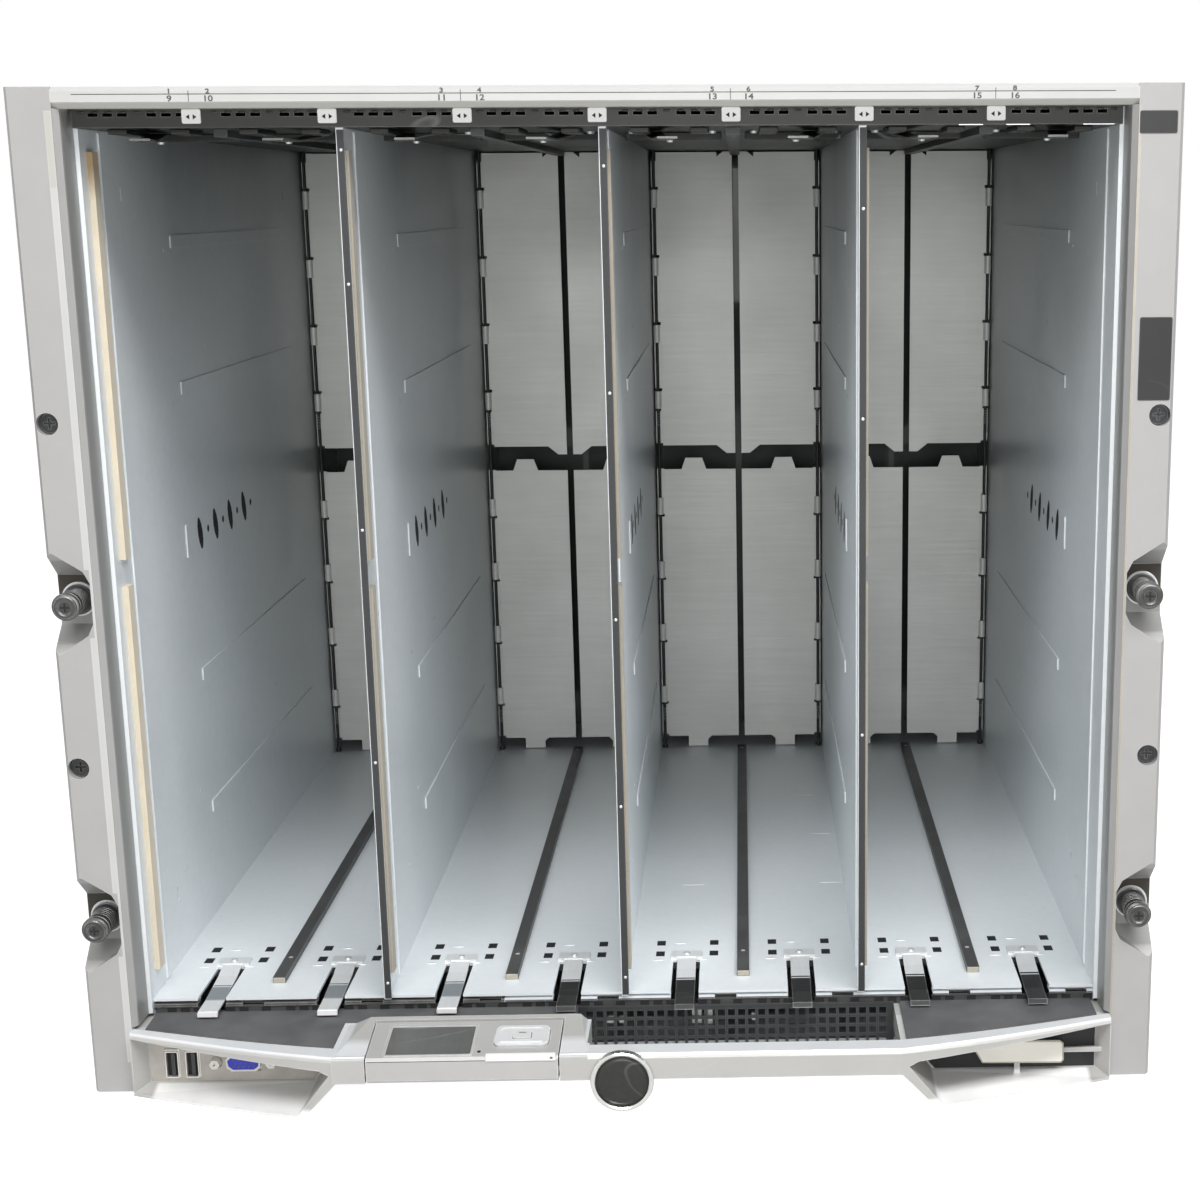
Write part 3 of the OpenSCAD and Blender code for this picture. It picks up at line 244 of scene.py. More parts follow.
finishes = {
    "silverMoulding": recipe((172, 171, 170), 0.4, 1500, 0.05, metal=0.1, bump=0.00002, worn=(222, 222, 221),
        wornBy=0.3, coat=0.1, scuffs=0.06,
        # painted shade: the ears' reveals, 4 to 18 mm behind the face, darker
        zones=[((-far, 4, 31), (far, 18, 431), (150, 150, 148), 1.0)]),
    "headerMoulding": recipe((196, 196, 194), 0.42, 1500, 0.04, bump=0.00002, worn=(246, 246, 244), wornBy=0.3,
        coat=0.1,
        # painted shade: the strip's lower bevel, below 433.6 mm, darker
        zones=[((-far, -1, 400), (far, 30, 433.6), (188, 187, 180), 0.4)]),
    "bezelMoulding": recipe((184, 183, 180), 0.4, 1500, 0.05, metal=0.08, bump=0.00002, worn=(246, 246, 246),
        wornBy=0.6, coat=0.12, scuffs=0.06,
        # painted light: the floors of both recesses and the brow's top face lighter
        zones=[((-214, -36, -1), (-122, 2.9, 5.5), (244, 244, 243), 2.0),
               ((122, -36, -1), (214, 2.9, 5.5), (254, 254, 254), 2.0),
               ((-far, -36.5, 28.6), (far, 6, 32), (222, 224, 226), 0.8)]),
    "panelMoulding": recipe((184, 183, 181), 0.38, 1500, 0.04, metal=0.08, bump=0.00002, worn=(250, 250, 250),
        wornBy=0.8, coat=0.12),
    "galvanised": recipe((238, 243, 246), 0.3, 260, 0.07, metal=0.1, spangle=110, spangleBy=0.1, scuffs=0.12,
        worn=(240, 243, 245), wornBy=0.4,
        # painted shade: liners and dividers darker towards the back, and in their upper part
        zones=[((-far, 170, 30), (far, far, 430), (152, 155, 151), 250.0),
               ((-far, 20, 300), (far, far, far), (156, 160, 158), 130.0)]),
    "outerSheet": recipe((172, 177, 180), 0.62, 220, 0.1, metal=0.15, spangle=80, spangleBy=0.12, scuffs=0.25,
        worn=(210, 214, 216), wornBy=0.5),
    "floorSheet": recipe((232, 237, 240), 0.3, 240, 0.05, metal=0.1, spangle=120, spangleBy=0.04, scuffs=0.3,
        worn=(250, 251, 252), wornBy=0.4,
        # painted shade: dark under the floor's front edge, and the floor darker towards the back
        zones=[((-far, 18, 20), (-56, 26, 35.4), (84, 84, 80), 0.3),
               ((-56, 18, 20), (far, 26, 34.15), (84, 84, 80), 0.3),
               ((-far, 170, 30), (far, far, far), (126, 129, 125), 240.0)]),
    "flapSheet": recipe((242, 243, 238), 0.42, 420, 0.07, metal=0.22, stretch=(0.06, 1, 1), bump=0.00012,
        scuffs=0.15, worn=(225, 226, 224), wornBy=0.3, cloud=0.12),
    "ceilingSteel": recipe((42, 43, 40), 0.42, 700, 0.25, metal=0.35, worn=(150, 150, 146), wornBy=0.4, scuffs=0.3),
    "armSteel": recipe((96, 96, 92), 0.36, 700, 0.15, metal=0.4, stretch=(1, 0.1, 1), bump=0.000006, scuffs=0.3,
        worn=(200, 200, 196), wornBy=0.4),
    "blackSteel": recipe((46, 47, 48), 0.5, far, 0.25, worn=(110, 111, 112), wornBy=0.5, dust=(120, 118, 114),
        dustBy=0.2),
    "blackTrim": recipe((84, 85, 87), 0.62, 2600, 0.28, bump=0.00004, worn=(110, 111, 113), wornBy=0.2,
        dust=(130, 129, 126), dustBy=0.3,
        zones=[((-far, 2, 2), (-140, 6, 28.9), (186, 181, 174), 0.2),
               ((140, 2, 2), (far, 6, 28.9), (30, 31, 32), 0.2),
               # painted shade under the floor's front edge
               ((-far, 19, 28), (far, 21, 33.4), (62, 63, 62), 0.3)]),
    "railPlastic": recipe((58, 58, 59), 0.4, 1200, 0.2, worn=(120, 120, 120), wornBy=0.4, dust=(140, 139, 136),
        dustBy=0.15),
    "gasketCloth": recipe((216, 204, 182), 0.8, 1400, 0.12, bump=0.00003, sheen=0.3,
        zones=[((-far, 0, 395), (far, 60, 430), (176, 150, 112), 14.0),
               ((-130, 0, 30), (far, 60, 430), (160, 152, 137), 2.0)]),
    "brightSteel": recipe((222, 224, 225), 0.3, 700, 0.08, metal=0.6, stretch=(1, 0.1, 1), bump=0.000004,
        scuffs=0.2, worn=(242, 243, 243), wornBy=0.3),
    "latchSteel": recipe((226, 228, 229), 0.34, 700, 0.07, metal=0.3, stretch=(1, 0.1, 1), bump=0.000004,
        scuffs=0.2, worn=(248, 249, 250), wornBy=0.3,
        # painted shade over each strip from 24 to 39 mm, behind its front tab
        zones=[((-far, 24, 30), (far, 39, 40), (142, 148, 152), 1.5),
               # painted shade: fronts of the strips right of X -60 dark, where the first three show a painted
               # reflection
               ((-60, 9, 30), (far, 38.5, 40), (42, 43, 42), 0.6)]),
    "boardMask": recipe((26, 40, 34), 0.4, 300, 0.2, coat=0.3),
    "knurledBlack": recipe((60, 61, 62), 0.32, 1500, 0.2, metal=0.5, worn=(170, 170, 170), wornBy=0.55),
    "gunMetal": recipe((74, 75, 74), 0.28, far, 0.12, metal=0.7, bump=0.000006, worn=(214, 214, 212), wornBy=0.8,
        scuffs=0.2),
    "pocketShade": recipe((62, 58, 50), 0.7, far, 0.3, bump=0.00002, dust=(110, 104, 92), dustBy=0.3),
    "fanPlastic": recipe((40, 41, 44), 0.48, 1600, 0.2, bump=0.00002, dust=(128, 124, 118), dustBy=0.2),
    "moduleSteel": recipe((172, 176, 178), 0.38, 500, 0.1, metal=0.65, stretch=(0.1, 1, 1), bump=0.000008,
        scuffs=0.2, worn=(220, 222, 223), wornBy=0.4,
        zones=[((-far, 753.2, 0), (far, far, 440), (46, 47, 50), 0.2)]),
    "keyPlastic": recipe((214, 215, 216), 0.36, 1800, 0.04, metal=0.05, coat=0.1, worn=(250, 250, 250), wornBy=0.7),
    "socketSteel": recipe((228, 226, 220), 0.3, far, 0.08, metal=0.25, bump=0.000004, worn=(252, 251, 246),
        wornBy=0.7),
    "videoBlue": recipe((52, 60, 196), 0.4, 1500, 0.12, worn=(120, 126, 232), wornBy=0.5),
    "markInk": recipe((84, 84, 82), 0.6, 2000, 0.15, bump=0.000002),
    "labelWhite": recipe((240, 240, 238), 0.45, 2000, 0.03, bump=0.000003, worn=(206, 206, 204), wornBy=0.5),
    "labelBlack": recipe((34, 34, 36), 0.35, 2000, 0.15, bump=0.000004, coat=0.3, worn=(96, 96, 98), wornBy=0.6,
        scuffs=0.15),
    "plateCream": recipe((234, 231, 222), 0.4, 1600, 0.04, coat=0.2, worn=(250, 249, 244), wornBy=0.4),
    "plateRim": recipe((170, 164, 150), 0.3, 1200, 0.1, metal=0.5, worn=(226, 222, 212), wornBy=0.6),
    "displayGlass": recipe((106, 107, 106), 0.22, 420, 0.12, stretch=(1, 0.3, 1), bump=0.000001, coat=0.3,
        scuffs=0.25, cloud=0.35),
    "badgeFace": recipe((34, 36, 32), 0.34, 500, 0.5, bump=0.000006, coat=0.15, scuffs=0.3),
    "badgeRing": recipe((226, 226, 222), 0.16, 800, 0.05, metal=0.95, bump=0.000003, worn=(250, 249, 240),
        wornBy=0.5),
    "slotShadow": recipe((16, 16, 17), 0.7, 1200, 0.3),
    "lampGreen": recipe((60, 170, 84), 0.2, far, 0.06, bump=0.000002, coat=0.5),
}


def surface(name, look):
    material = bpy.data.materials.new(name)
    tree = freshTree(material)
    skin = put(tree, "BsdfPrincipled", {"Metallic": look["metal"], "Coat Weight": look.get("coat", 0.0),
                                        "Sheen Weight": look.get("sheen", 0.0)})
    put(tree, "OutputMaterial", {"Surface": skin.outputs[0]})
    along = dict(zip(("Stretch X", "Stretch Y", "Stretch Z"), look.get("stretch", (1, 1, 1))))
    grain = use(tree, "grain", Scale=look["grain"], **along)
    base = put(tree, "RGB")
    base.outputs[0].default_value = paint(*look["colour"])
    colour = base.outputs[0]
    for low, high, inner, soft in look.get("zones", []):
        limits = {}
        for axis, start, end in zip("XYZ", spot(*low), spot(*high)):
            limits[f"From {axis}"], limits[f"To {axis}"] = start, end
        inside = use(tree, "zone", Softness=soft * mm, **limits)["Mask"]
        colour = blendColour(tree, inside, colour, paint(*inner))
    spread = look["tone"]
    shade = rescale(tree, grain["Tone"], 0.25, 0.75, 1 - spread, 1 + spread)
    if "cloud" in look:  # slow patches of a handled sheet
        lift = rescale(tree, noise(tree, here(tree), 16.0, 5.0), 0.3, 0.7, 1 - look["cloud"], 1.0)
        shade = calc(tree, "MULTIPLY", shade, lift)
    colour = make(tree, "VectorMath", {0: colour, 3: shade}, operation="SCALE")
    rough = calc(tree, "MULTIPLY_ADD", grain["Tone"], 0.12, look["rough"] - 0.06)

    def cover(mask, share, tint):
        return blendColour(tree, calc(tree, "MULTIPLY", mask, share), colour, paint(*tint))

    if "spangle" in look:
        cells = use(tree, "spangle", Scale=look["spangle"])["Tone"]
        colour = cover(cells, look["spangleBy"], (245, 248, 250))
        rough = calc(tree, "MULTIPLY_ADD", cells, 0.08, rough)
    if "scuffs" in look:
        marks = use(tree, "scuff")
        colour = cover(marks["Lines"], look["scuffs"], (240, 241, 242))
        rough = calc(tree, "MULTIPLY_ADD", marks["Smear"], 0.1, rough)
    # rim wear, and painted highlights on rims: the rim colour laid over the edge mask
    if "worn" in look:
        colour = cover(use(tree, "edge")["Mask"], look["wornBy"], look["worn"])
    if "dust" in look:
        film = use(tree, "dust")["Mask"]
        colour = cover(film, look["dustBy"], look["dust"])
        rough = calc(tree, "MULTIPLY_ADD", film, 0.2, rough)
    bump = make(tree, "Bump", {"Height": grain["Height"], "Distance": look["bump"]})
    for label, value in (("Base Color", colour), ("Roughness", rough), ("Normal", bump)):
        tree.links.new(value, skin.inputs[label])
    return material


paints = {name: surface(name, look) for name, look in finishes.items()}
print("finishes made:", len(paints))

# CAD nodes take their finishes

nodeFinish = {
    "outerSheet": "case_shell base_pan rack_flanges rear_cage", "floorSheet": "bay_floor",
    "ceilingSteel": "bay_ceiling",
    "galvanised": "side_liners bay_dividers", "railPlastic": "guide_rails midplane_connectors",
    "latchSteel": "latch_strips", "gasketCloth": "emi_gaskets", "blackSteel": "hinge_rods intake_grille",
    "boardMask": "midplane_board", "blackTrim": "lip_trim", "silverMoulding": "bezel_ears",
    "headerMoulding": "bezel_top", "bezelMoulding": "bezel_lower", "knurledBlack": "ear_screws thumbscrew",
    "socketSteel": "port_sockets", "badgeRing": "round_badge", "fanPlastic": "fan_frames fan_rotor",
    "brightSteel": "fan_guards", "moduleSteel": "io_blanks power_supplies management_modules",
    "flapSheet": "flap", "panelMoulding": "lcd_panel", "keyPlastic": "nav_pad nav_key power_button",
}
finishOf = {stem: finish for finish, stems in nodeFinish.items() for stem in stems.split()}


def finishNodes():
    for name, piece in nodes.items():
        stem = next(s for s in finishOf if name == s or name.startswith(s + "_"))
        piece.data.materials.clear()
        piece.data.materials.append(paints[finishOf[stem]])


finishNodes()
print("CAD nodes finished")

# building blocks of the small pieces, with points in millimetres


def join(bm, rows, ring=False):  # closed skin over rows of as many points; a ring's last row meets its first
    rows = [[bm.verts.new(spot(*point)) for point in row] for row in rows]
    for a, b in zip(rows, rows[1:] + rows[:1] if ring else rows[1:]):
        for i, corner in enumerate(a):
            j = (i + 1) % len(a)
            bm.faces.new((corner, b[i], b[j], a[j]))
    if not ring:
        bm.faces.new(rows[0])
        bm.faces.new(rows[-1][::-1])


def prism(bm, outline, axis, start, end):  # the outline runs over the two other axes in the order x, y, z
    at = "xyz".index(axis)
    join(bm, [[(*p[:at], level, *p[at:]) for p in outline] for level in (start, end)])


def brick(bm, low, high):
    prism(bm, [(low[0], low[1]), (high[0], low[1]), (high[0], high[1]), (low[0], high[1])], "z", low[2], high[2])


def rounded(left, right, bottom, top, radius, steps=5):  # outline of a rectangle with round corners
    centres = ((right - radius, top - radius), (left + radius, top - radius),
               (left + radius, bottom + radius), (right - radius, bottom + radius))
    turns = [(k, math.radians(90 * k + 90 * i / steps)) for k in range(4) for i in range(steps + 1)]
    return [(centres[k][0] + radius * math.cos(a), centres[k][1] + radius * math.sin(a)) for k, a in turns]


def turned(bm, profile, centre, steps=40):  # profile of (radius, depth) points turned about an axis along Y
    cx, cz = centre
    angles = [2 * math.pi * i / steps for i in range(steps)]
    rings = [[bm.verts.new(spot(cx + radius * math.cos(a), depth, cz + radius * math.sin(a)))
              for a in (angles if radius else angles[:1])] for radius, depth in profile]
    for ring, after in zip(rings, rings[1:]):
        for i in range(steps):
            j = (i + 1) % steps
            quad = [ring[i % len(ring)], ring[j % len(ring)], after[j % len(after)], after[i % len(after)]]
            corners = list(dict.fromkeys(quad))
            if len(corners) > 2:
                bm.faces.new(corners)


def claim(piece, body):
    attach(piece, body)
    return piece


def finishPiece(name, bm, finish, slot, body="chassis", soften=0.0, smooth=False):
    bmesh.ops.remove_doubles(bm, verts=bm.verts, dist=1e-7)
    bmesh.ops.recalc_face_normals(bm, faces=bm.faces)
    mesh = bpy.data.meshes.new(name)
    bm.to_mesh(mesh)
    bm.free()
    piece = addObject(name, mesh)
    mesh.materials.append(paints[finish])
    for face in mesh.polygons:
        face.use_smooth = smooth
    if soften:
        edge = piece.modifiers.new("soften", "BEVEL")
        edge.width, edge.segments, edge.limit_method, edge.angle_limit = soften * mm, 2, "ANGLE", math.radians(40)
    return claim(piece, body)


def blocks(name, boxes, finish, slot, **options):  # a piece of boxes, each given by two opposite corners in one row
    bm = bmesh.new()
    for box in boxes:
        brick(bm, box[:3], box[3:])
    return finishPiece(name, bm, finish, slot, **options)


def shaped(name, build, finish, slot, *given, **options):  # a piece of one call of prism, turned or lidSlab
    bm = bmesh.new()
    build(bm, *given)
    return finishPiece(name, bm, finish, slot, **options)


def plainMesh(helper):  # a helper's final mesh, and the helper goes
    mesh = bpy.data.meshes.new_from_object(helper.evaluated_get(bpy.context.evaluated_depsgraph_get()))
    bpy.data.objects.remove(helper)
    return mesh


# geometry node trees


def startTree(name, inputs):
    tree = bpy.data.node_groups.new(name, "GeometryNodeTree")
    tree.interface.new_socket("Geometry", in_out="INPUT", socket_type="NodeSocketGeometry")
    for label, value in inputs.items():
        kind = "NodeSocketInt" if isinstance(value, int) else "NodeSocketFloat"
        tree.interface.new_socket(label, in_out="INPUT", socket_type=kind).default_value = value
    tree.interface.new_socket("Finish", in_out="INPUT", socket_type="NodeSocketMaterial")
    tree.interface.new_socket("Geometry", in_out="OUTPUT", socket_type="NodeSocketGeometry")
    return tree, tree.nodes.new("NodeGroupInput").outputs


def endTree(tree, given, head):  # a head on each point, turned to its facing and stretched by its size
    facing, size = (make(tree, "GeometryNodeInputNamedAttribute", {"Name": label}, data_type="FLOAT_VECTOR")
                    for label in ("facing", "size"))
    turn = make(tree, "FunctionNodeAlignRotationToVector", {"Vector": facing}, axis="Z")
    placed = make(tree, "GeometryNodeInstanceOnPoints", {"Points": given["Geometry"], "Instance": head,
                                                         "Rotation": turn, "Scale": size})
    real = make(tree, "GeometryNodeRealizeInstances", {"Geometry": placed})
    done = make(tree, "GeometryNodeSetMaterial", {"Geometry": real, "Material": given["Finish"]})
    tree.links.new(done, tree.nodes.new("NodeGroupOutput").inputs[0])
    return tree


def rivetTree():  # unit dome, half sunk
    tree, given = startTree("rivet", {"Segments": 12, "Rings": 7})
    ball = make(tree, "GeometryNodeMeshUVSphere", {"Segments": given["Segments"], "Rings": given["Rings"],
                                                   "Radius": 1.0})
    return endTree(tree, given, make(tree, "GeometryNodeSetShadeSmooth", {"Geometry": ball}))


def screwTree():  # unit pan head with a cross cut
    tree, given = startTree("screw", {"Segments": 20, "Slot Width": 0.22, "Slot Reach": 1.1})
    head = make(tree, "GeometryNodeMeshCone", {"Vertices": given["Segments"], "Radius Top": 0.82,
                                               "Radius Bottom": 1.0, "Depth": 1.0})
    width, reach = given["Slot Width"], given["Slot Reach"]
    for across, along in ((reach, width), (width, reach)):
        size = make(tree, "CombineXYZ", {0: across, 1: along, 2: 0.9})
        cutter = make(tree, "GeometryNodeMeshCube", {"Size": size})
        cutter = make(tree, "GeometryNodeTransform", {"Geometry": cutter, "Translation": (0, 0, 0.9)})
        head = make(tree, "GeometryNodeMeshBoolean", {0: head, 1: cutter}, operation="DIFFERENCE")
    return endTree(tree, given, head)


def tube(tree, line, steps, radius, **options):
    section = make(tree, "GeometryNodeCurvePrimitiveCircle", {"Resolution": steps, "Radius": radius})
    return make(tree, "GeometryNodeCurveToMesh", {"Curve": line, "Profile Curve": section, **options})


def coilTree():  # spring of unit radius standing on its origin
    tree, given = startTree("coil", {"Turns": 9.0, "Height": 8.0, "Wire": 0.07})
    line = make(tree, "GeometryNodeCurveSpiral", {"Resolution": 14, "Rotations": given["Turns"], "Start Radius": 1.0,
                                                  "End Radius": 1.0, "Height": given["Height"]})
    return endTree(tree, given, tube(tree, line, 6, given["Wire"], **{"Fill Caps": True}))


def grooveTree():  # rings one behind the other round a unit axis
    tree, given = startTree("grooves", {"Count": 3, "Pitch": 0.3, "Wire": 0.06})
    loop = make(tree, "GeometryNodeCurvePrimitiveCircle", {"Resolution": 32, "Radius": 1.0})
    ring = tube(tree, loop, 8, given["Wire"])
    step = make(tree, "CombineXYZ", {2: given["Pitch"]})
    spots = make(tree, "GeometryNodeMeshLine", {"Count": given["Count"], "Offset": step})
    stack = make(tree, "GeometryNodeInstanceOnPoints", {"Points": spots, "Instance": ring})
    return endTree(tree, given, make(tree, "GeometryNodeRealizeInstances", {"Geometry": stack}))


trees = {"rivet": rivetTree(), "screw": screwTree(), "coil": coilTree(), "grooves": grooveTree()}


def scatter(name, kind, places, finish, slot, body="chassis", **values):
    # places are (point, facing, size) with point and size in millimetres
    seed = bpy.data.meshes.new(name + "Points")
    seed.from_pydata([spot(*p) for p, _, _ in places], [], [])
    for label, index, scale in (("facing", 1, 1.0), ("size", 2, mm)):
        layer = seed.attributes.new(label, "FLOAT_VECTOR", "POINT")
        for i, place in enumerate(places):
            layer.data[i].vector = Vector(place[index]) * scale
    holder = addObject(name + "Points", seed)
    modifier = holder.modifiers.new(kind, "NODES")
    modifier.node_group = trees[kind]
    settings = {"Finish": paints[finish], **values}
    for item in trees[kind].interface.items_tree:
        if item.in_out == "INPUT" and item.name in settings:
            modifier[item.identifier] = settings[item.name]
    mesh = plainMesh(holder)
    for label in ("facing", "size"):
        if label in mesh.attributes:
            mesh.attributes.remove(mesh.attributes[label])
    mesh.name = name
    return claim(addObject(name, mesh), body)


front, rear, up, down = (0, -1, 0), (0, 1, 0), (0, 0, 1), (0, 0, -1)
leftward, rightward = (-1, 0, 0), (1, 0, 0)

bays = dict(dividers=(-109, 0, 109), centres=(-163.5, -54.5, 54.5, 163.5), floor=37, ceiling=424,
            columns=(-190.75, -136.25, -81.75, -27.25, 27.25, 81.75, 136.25, 190.75))
columns = bays["columns"]

# header strip: printed line and numbers

header = dict(line=(-213.8, 212.4), lineZ=436.9, lineHeight=0.35, sizes=(2.6, 3.2), heights=(437.2, 434.1), ink=0.03,
              widen=1.3, bold=0.09, ticks=(-166.5, -56.3, 53.8, 162.8), tickHalf=0.15, tickZ=(433.9, 438.3),
              numbers=((-174.3, 1, 9), (-158.7, 2, 10), (-64.0, 3, 11), (-48.6, 4, 12), (46.4, 5, 13),
                       (61.2, 6, 14), (155.1, 7, 15), (170.7, 8, 16)))


def textMesh(words, size, x, z):  # centred on x, standing on z, as a plain mesh at the origin
    curve = bpy.data.curves.new("words", "FONT")
    curve.body, curve.size, curve.extrude, curve.align_x = words, size * mm, header["ink"] * mm, "CENTER"
    curve.resolution_u = 3
    curve.offset = header["bold"] * mm
    mesh = plainMesh(addObject("words", curve))
    wide = Matrix.Diagonal((header["widen"], 1, 1, 1))
    mesh.transform(Matrix.Translation(spot(x, 0, z)) @ Matrix.Rotation(math.radians(90), 4, "X") @ wide)
    return mesh


def headerMarks():
    h, bm = header, bmesh.new()
    half = h["lineHeight"] / 2
    marks = [(*h["line"], h["lineZ"] - half, h["lineZ"] + half)]
    marks += [(x - h["tickHalf"], x + h["tickHalf"], *h["tickZ"]) for x in h["ticks"]]
    for left, right, low, high in marks:
        brick(bm, (left, -h["ink"], low), (right, 0.05, high))
    for x, *pair in h["numbers"]:
        for number, size, z in zip(pair, h["sizes"], h["heights"]):
            bm.from_mesh(textMesh(str(number), size, x, z))
    finishPiece("headerMarks", bm, "markInk", "black_plastic")


headerMarks()

# seven arrow labels on the ceiling's front flange

arrowLabels = dict(x=(-168.4, -112.7, -57.2, -1.5, 53.95, 109.25, 164.3), bottom=425.6, top=431.4, half=3.9,
                   face=9.4, back=9.99, corner=0.7, arrow=(0.7, 2.2), arrowZ=428.3, arrowHalf=1.05)


def makeArrowLabels():
    plates, arrows = bmesh.new(), bmesh.new()
    lab = arrowLabels
    base, tip = lab["arrow"]
    for x in lab["x"]:
        outline = rounded(x - lab["half"], x + lab["half"], lab["bottom"], lab["top"], lab["corner"])
        prism(plates, outline, "y", lab["face"], lab["back"])
        for side in (-1, 1):
            triangle = [(x + side * dx, lab["arrowZ"] + dz * lab["arrowHalf"])
                        for dx, dz in ((base, -1), (tip, 0), (base, 1))]
            prism(arrows, triangle, "y", lab["face"] - 0.04, lab["face"] + 0.02)
    finishPiece("arrowLabels", plates, "labelWhite", "black_steel")
    finishPiece("arrowMarks", arrows, "slotShadow", "black_steel")


makeArrowLabels()
print("header marks made")

# black cap strips and rivets on the dividers' front edges

caps = dict(left=-1.3, right=1.75, face=14.5, back=14.72, low=37.4, high=423.2, rivet=(0.75, 0.75, 0.35), rivetX=0.3,
            rivets=((44.9, 150, 255, 360, 415), (46, 128, 214, 313.4, 408), (50.6, 160, 301.4, 390)))


def dividerCaps():
    c = caps
    blocks("dividerCaps", [(x + c["left"], c["face"], c["low"], x + c["right"], c["back"], c["high"])
                           for x in bays["dividers"]], "blackSteel", "black_plastic", soften=0.06)
    rivets = [((x + c["rivetX"], c["face"], z), front, c["rivet"])
              for x, heights in zip(bays["dividers"], c["rivets"]) for z in heights]
    scatter("dividerRivets", "rivet", rivets, "brightSteel", "sheet_pale")


dividerCaps()

# floor: rail screws and blunt rail ends, lances, latch screws, loose pads, hook plates with a painted reflection,
# painted shadow in steps, holes and under the floor

floorBits = dict(railScrewY=(63, 438.9), railTop=39.3, railScrew=(1.25, 1.25, 0.7), railEnd=(2.7, 36.75, 37.05),
                 railEndZ=(37.2, 39.7), plateY=(9.95, 10.15), stepZ=(34.2, 35.15), stepRise=0.01,
                 lances=((-14, 59.3), (7.2, 59.5), (-3.6, 81.5)), lance=(3.0, 0.9, 0.45), latchScrewAt=(64.1, 38.2),
                 latchScrew=(1.7, 1.7, 0.9), pad=(6.5, 1.1, 0.3),
                 pads=((99.5, 258), (101.5, 171), (92, 336), (28, 170)),
                 plate=(4.6, 31.5, 33.6), step=(4.4, 39.3, 41.2), under=(24, 52, 92), underZ=(34.9, 35.72),
                 holeX=(-13, 13), holeY=(67.5, 82), hole=(2.1, 3.2), holeZ=(36.6, 37.05))


def floorPieces():
    f, floor = floorBits, bays["floor"]
    opposite = floor + bays["ceiling"] - f["railTop"]
    half, near, far = f["railEnd"]
    low, high = f["railEndZ"]
    blocks("railEnds", [(x - half, near, low, x + half, far, high) for x in bays["centres"]],
           "plateRim", "black_plastic", soften=0.15)
    screws = [((x, y, z), way, f["railScrew"]) for x in bays["centres"] for y in f["railScrewY"]
              for z, way in ((f["railTop"], up), (opposite, down))]
    lances = [((x + dx, y, floor), up, f["lance"]) for x in columns for dx, y in f["lances"]]
    pads = [((x, y, floor), up, f["pad"]) for x, y in f["pads"]]
    latches = [((x, *f["latchScrewAt"]), up, f["latchScrew"]) for x in columns]
    for name, kind, places, finish in (
            ("railScrews", "screw", screws, "brightSteel"), ("floorLances", "rivet", lances, "latchSteel"),
            ("floorPads", "rivet", pads, "labelWhite"), ("latchScrews", "screw", latches, "brightSteel")):
        scatter(name, kind, places, finish, "sheet_pale")
    # painted reflection on the front faces of the first three hooks, painted shadow lines where each strip steps down
    half, low, high = f["plate"]
    near, far = f["plateY"]
    blocks("hookPlateReflections", [(x - half, near, low, x + half, far, high) for x in columns[:3]],
           "labelWhite", "sheet_pale", soften=0.05)
    half, near, far = f["step"]
    low, high = f["stepZ"]
    blocks("latchStepShadows", [(x - half, near, low, x + half, far, high + f["stepRise"] * k)
                          for k, x in enumerate(columns)], "slotShadow", "black_steel")
    # painted shadow under the floor's holes and in them
    half, near, far = f["under"]
    low, high = f["underZ"]
    blocks("underFloorShade", [(x - half, near, low, x + half, far, high) for x in columns],
           "slotShadow", "black_steel")
    halfX, halfY = f["hole"]
    low, high = f["holeZ"]
    blocks("floorHoleShadows", [(x + dx - halfX, y - halfY, low, x + dx + halfX, y + halfY, high)
                          for x in columns for dx in f["holeX"] for y in f["holeY"]], "slotShadow", "black_steel")


floorPieces()

# slots and round holes in the walls' lower middle, their insides painted shadow, and bright rivets beside them

wallSlots = dict(first=160, pitch=31, count=4, z=231.5, half=8.4, bulge=4.4, square=0.3, lean=1.8, dot=1.9,
                 depth=(-0.3, 0.08), faces=((-217.5, 1), (-108.5, 1), (-109.5, -1), (0.5, 1), (-0.5, -1), (109.5, 1),
                                            (108.5, -1), (217.5, -1)))


def wallHoles():
    bm = bmesh.new()
    w = wallSlots
    turns = [2 * math.pi * step / 12 for step in range(12)]
    eighths = [k * math.pi / 4 for k in range(8)]
    lens = [(w["bulge"] * math.cos(a) * abs(math.cos(a)) ** w["square"] - w["lean"] * math.sin(a),
             w["half"] * math.sin(a)) for a in turns]
    ring = [(w["pitch"] / 2 + w["dot"] * math.cos(a), w["dot"] * math.sin(a)) for a in eighths]
    for face, sign in w["faces"]:
        start, end = (face + sign * d for d in w["depth"])
        for i in range(w["count"]):
            y = w["first"] + i * w["pitch"]
            for outline in (lens, ring):
                prism(bm, [(y + dy, w["z"] + dz) for dy, dz in outline], "x", start, end)
    finishPiece("wallHoles", bm, "slotShadow", "black_steel")


wallHoles()

flankRivets = dict(head=(1.1, 1.1, 0.4), busy=-108.5, others=(7, 8, 9, 10, 11, 2, 3),
                   faces=(-217.5, -108.5, 0.5, 108.5, 217.5),
                   spots=((204, 177.3), (124.6, 176.5), (125.4, 106), (88.6, 77.7), (37.9, 143), (38.8, 212.9),
                          (40.9, 72.4), (128, 300), (210, 330), (132, 372), (300, 120), (305, 345)))


def flankFasteners():
    f, places = flankRivets, []
    for face in f["faces"]:
        facing = leftward if face > 100 else rightward
        keep = f["spots"] if face == f["busy"] else [f["spots"][i] for i in f["others"]]
        places += [((face, y, z), facing, f["head"]) for y, z in keep]
    scatter("flankRivets", "rivet", places, "brightSteel", "sheet_pale")


flankFasteners()

# strips on the flaps: a lap behind the rod between the knuckles, and the upper flaps' raised edge

flapHems = dict(side=51.22, lap=(-1.7, 2.9), y=(454.1, 454.9), wide=(1.5, 39.64), top=423.0, clear=0.8, knuckle=11,
                firstKnuckle=24, pitch=42, ends=36, foot=0.5, fold=0.6,
                rows=dict(upper=(240.25, 418.2, 240.25), lower=(45.5, 224.75, 43.5)))


